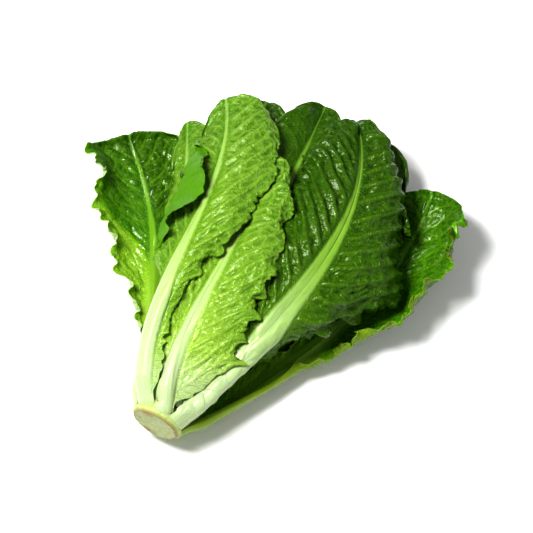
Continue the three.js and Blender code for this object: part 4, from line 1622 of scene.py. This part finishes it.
@dataclass
class Studio:
    """The floor, the lights and the camera.

    Args:
        shift: From the drawing's place to the row's, in metres.
        azimuth: The camera's turn round the head.
        elevation: How far it looks down.
        distance: How far it stands off, in metres.
        frame_width: The width that it takes in at the head's middle, in metres.
        behind: How far the head's middle is behind its aim, in metres.
        offset: How far its aim is to the right of and above the middle of the cut face, in the
            picture, in millimetres.
        sensor: The width of the camera's sensor, in millimetres.
        lights: The lights.
        sky: How strong the light from all round is.
        floor_size: Half the floor's side, in metres.
        floor_drop: How far the floor is under the head, in metres.
    """

    shift: np.ndarray
    azimuth: float = 28.6
    elevation: float = 65.0
    distance: float = 6.0
    frame_width: float = 0.4157
    behind: float = 0.06
    offset: Pair = (86.2, 122.9)
    sensor: float = 36.0
    lights: tuple[Light, ...] = (
        Light("key", (-0.52, 0.5, 1.0), 1.6, 0.6, 46.0),
        Light("fill", (1.0, -0.2, 1.0), 2.0, 1.6, 7.0),
    )
    sky: float = 0.28
    floor_size: float = 3.0
    floor_drop: float = 0.0002

    def axes(self) -> tuple[Vector, Vector, Vector]:
        """The picture's right, its up, and the way back to the camera."""
        turn, tilt = math.radians(self.azimuth), math.radians(self.elevation)
        right = Vector((math.cos(turn), math.sin(turn), 0))
        back = Vector((math.sin(turn) * math.cos(tilt), -math.cos(turn) * math.cos(tilt), math.sin(tilt)))
        return right, back.cross(right), back

    def aim(self) -> Vector:
        """The point that the picture's centre shows."""
        right, upward, _ = self.axes()
        middle = Vector(self.shift) + Vector((0, 0, AXIS_HEIGHT * MM))
        return middle + right * self.offset[0] * MM + upward * self.offset[1] * MM

    def add_light(self, light: Light) -> None:
        """Puts one of the lights in the scene."""
        right, upward, back = self.axes()
        way = back * light.way[2] + right * light.way[0] + upward * light.way[1]
        lamp = bpy.data.lights.new(light.name, "AREA")
        lamp.shape = "SQUARE"
        lamp.size = light.size
        lamp.energy = light.power
        holder = bpy.data.objects.new(light.name, lamp)
        holder.location = self.aim() + way.normalized() * light.distance
        holder.rotation_euler = way.to_track_quat("Z", "Y").to_euler()
        bpy.context.scene.collection.objects.link(holder)

    def add_camera(self) -> None:
        """Puts the camera where the photo was taken from."""
        right, upward, back = self.axes()
        lens = bpy.data.cameras.new("camera")
        lens.sensor_width = self.sensor
        lens.lens = self.sensor * (self.distance + self.behind) / self.frame_width
        camera = bpy.data.objects.new("camera", lens)
        turned = Matrix((right, upward, back)).transposed().to_4x4()
        camera.matrix_world = Matrix.Translation(self.aim() + back * self.distance) @ turned
        bpy.context.scene.collection.objects.link(camera)
        bpy.context.scene.camera = camera

    def add_sky(self) -> None:
        """Lights the scene from all round, and sets how the picture's tones are shown."""
        world = bpy.data.worlds.new("studio")
        world.use_nodes = True
        background = world.node_tree.nodes["Background"].inputs
        background["Color"].default_value = (1, 1, 1, 1)
        background["Strength"].default_value = self.sky
        bpy.context.scene.world = world
        bpy.context.scene.view_settings.view_transform = "Standard"
        bpy.context.scene.view_settings.look = "Medium High Contrast"

    def add_floor(self, finish: bpy.types.Material) -> None:
        """Lays the floor, which is staging and no piece of the head."""
        plane = bmesh.new()
        bmesh.ops.create_grid(plane, x_segments=1, y_segments=1, size=self.floor_size)
        mesh = bpy.data.meshes.new("floor")
        plane.to_mesh(mesh)
        plane.free()
        mesh.transform(Matrix.Translation((0, 0, -self.floor_drop)))
        mesh.materials.append(finish)
        floor = bpy.data.objects.new("floor", mesh)
        bpy.context.scene.collection.objects.link(floor)

    def build(self, finishes: Finishes) -> None:
        """Sets up the studio."""
        self.add_camera()
        for light in self.lights:
            self.add_light(light)
        self.add_sky()
        self.add_floor(finishes.floor())


def main() -> None:
    """Builds the head and the studio round it."""
    logging.basicConfig(level=logging.INFO, format="%(message)s")
    finishes = Finishes()
    head = Head(finishes)
    head.build()
    Studio(head.shift).build(finishes)


if __name__ == "__main__":
    main()
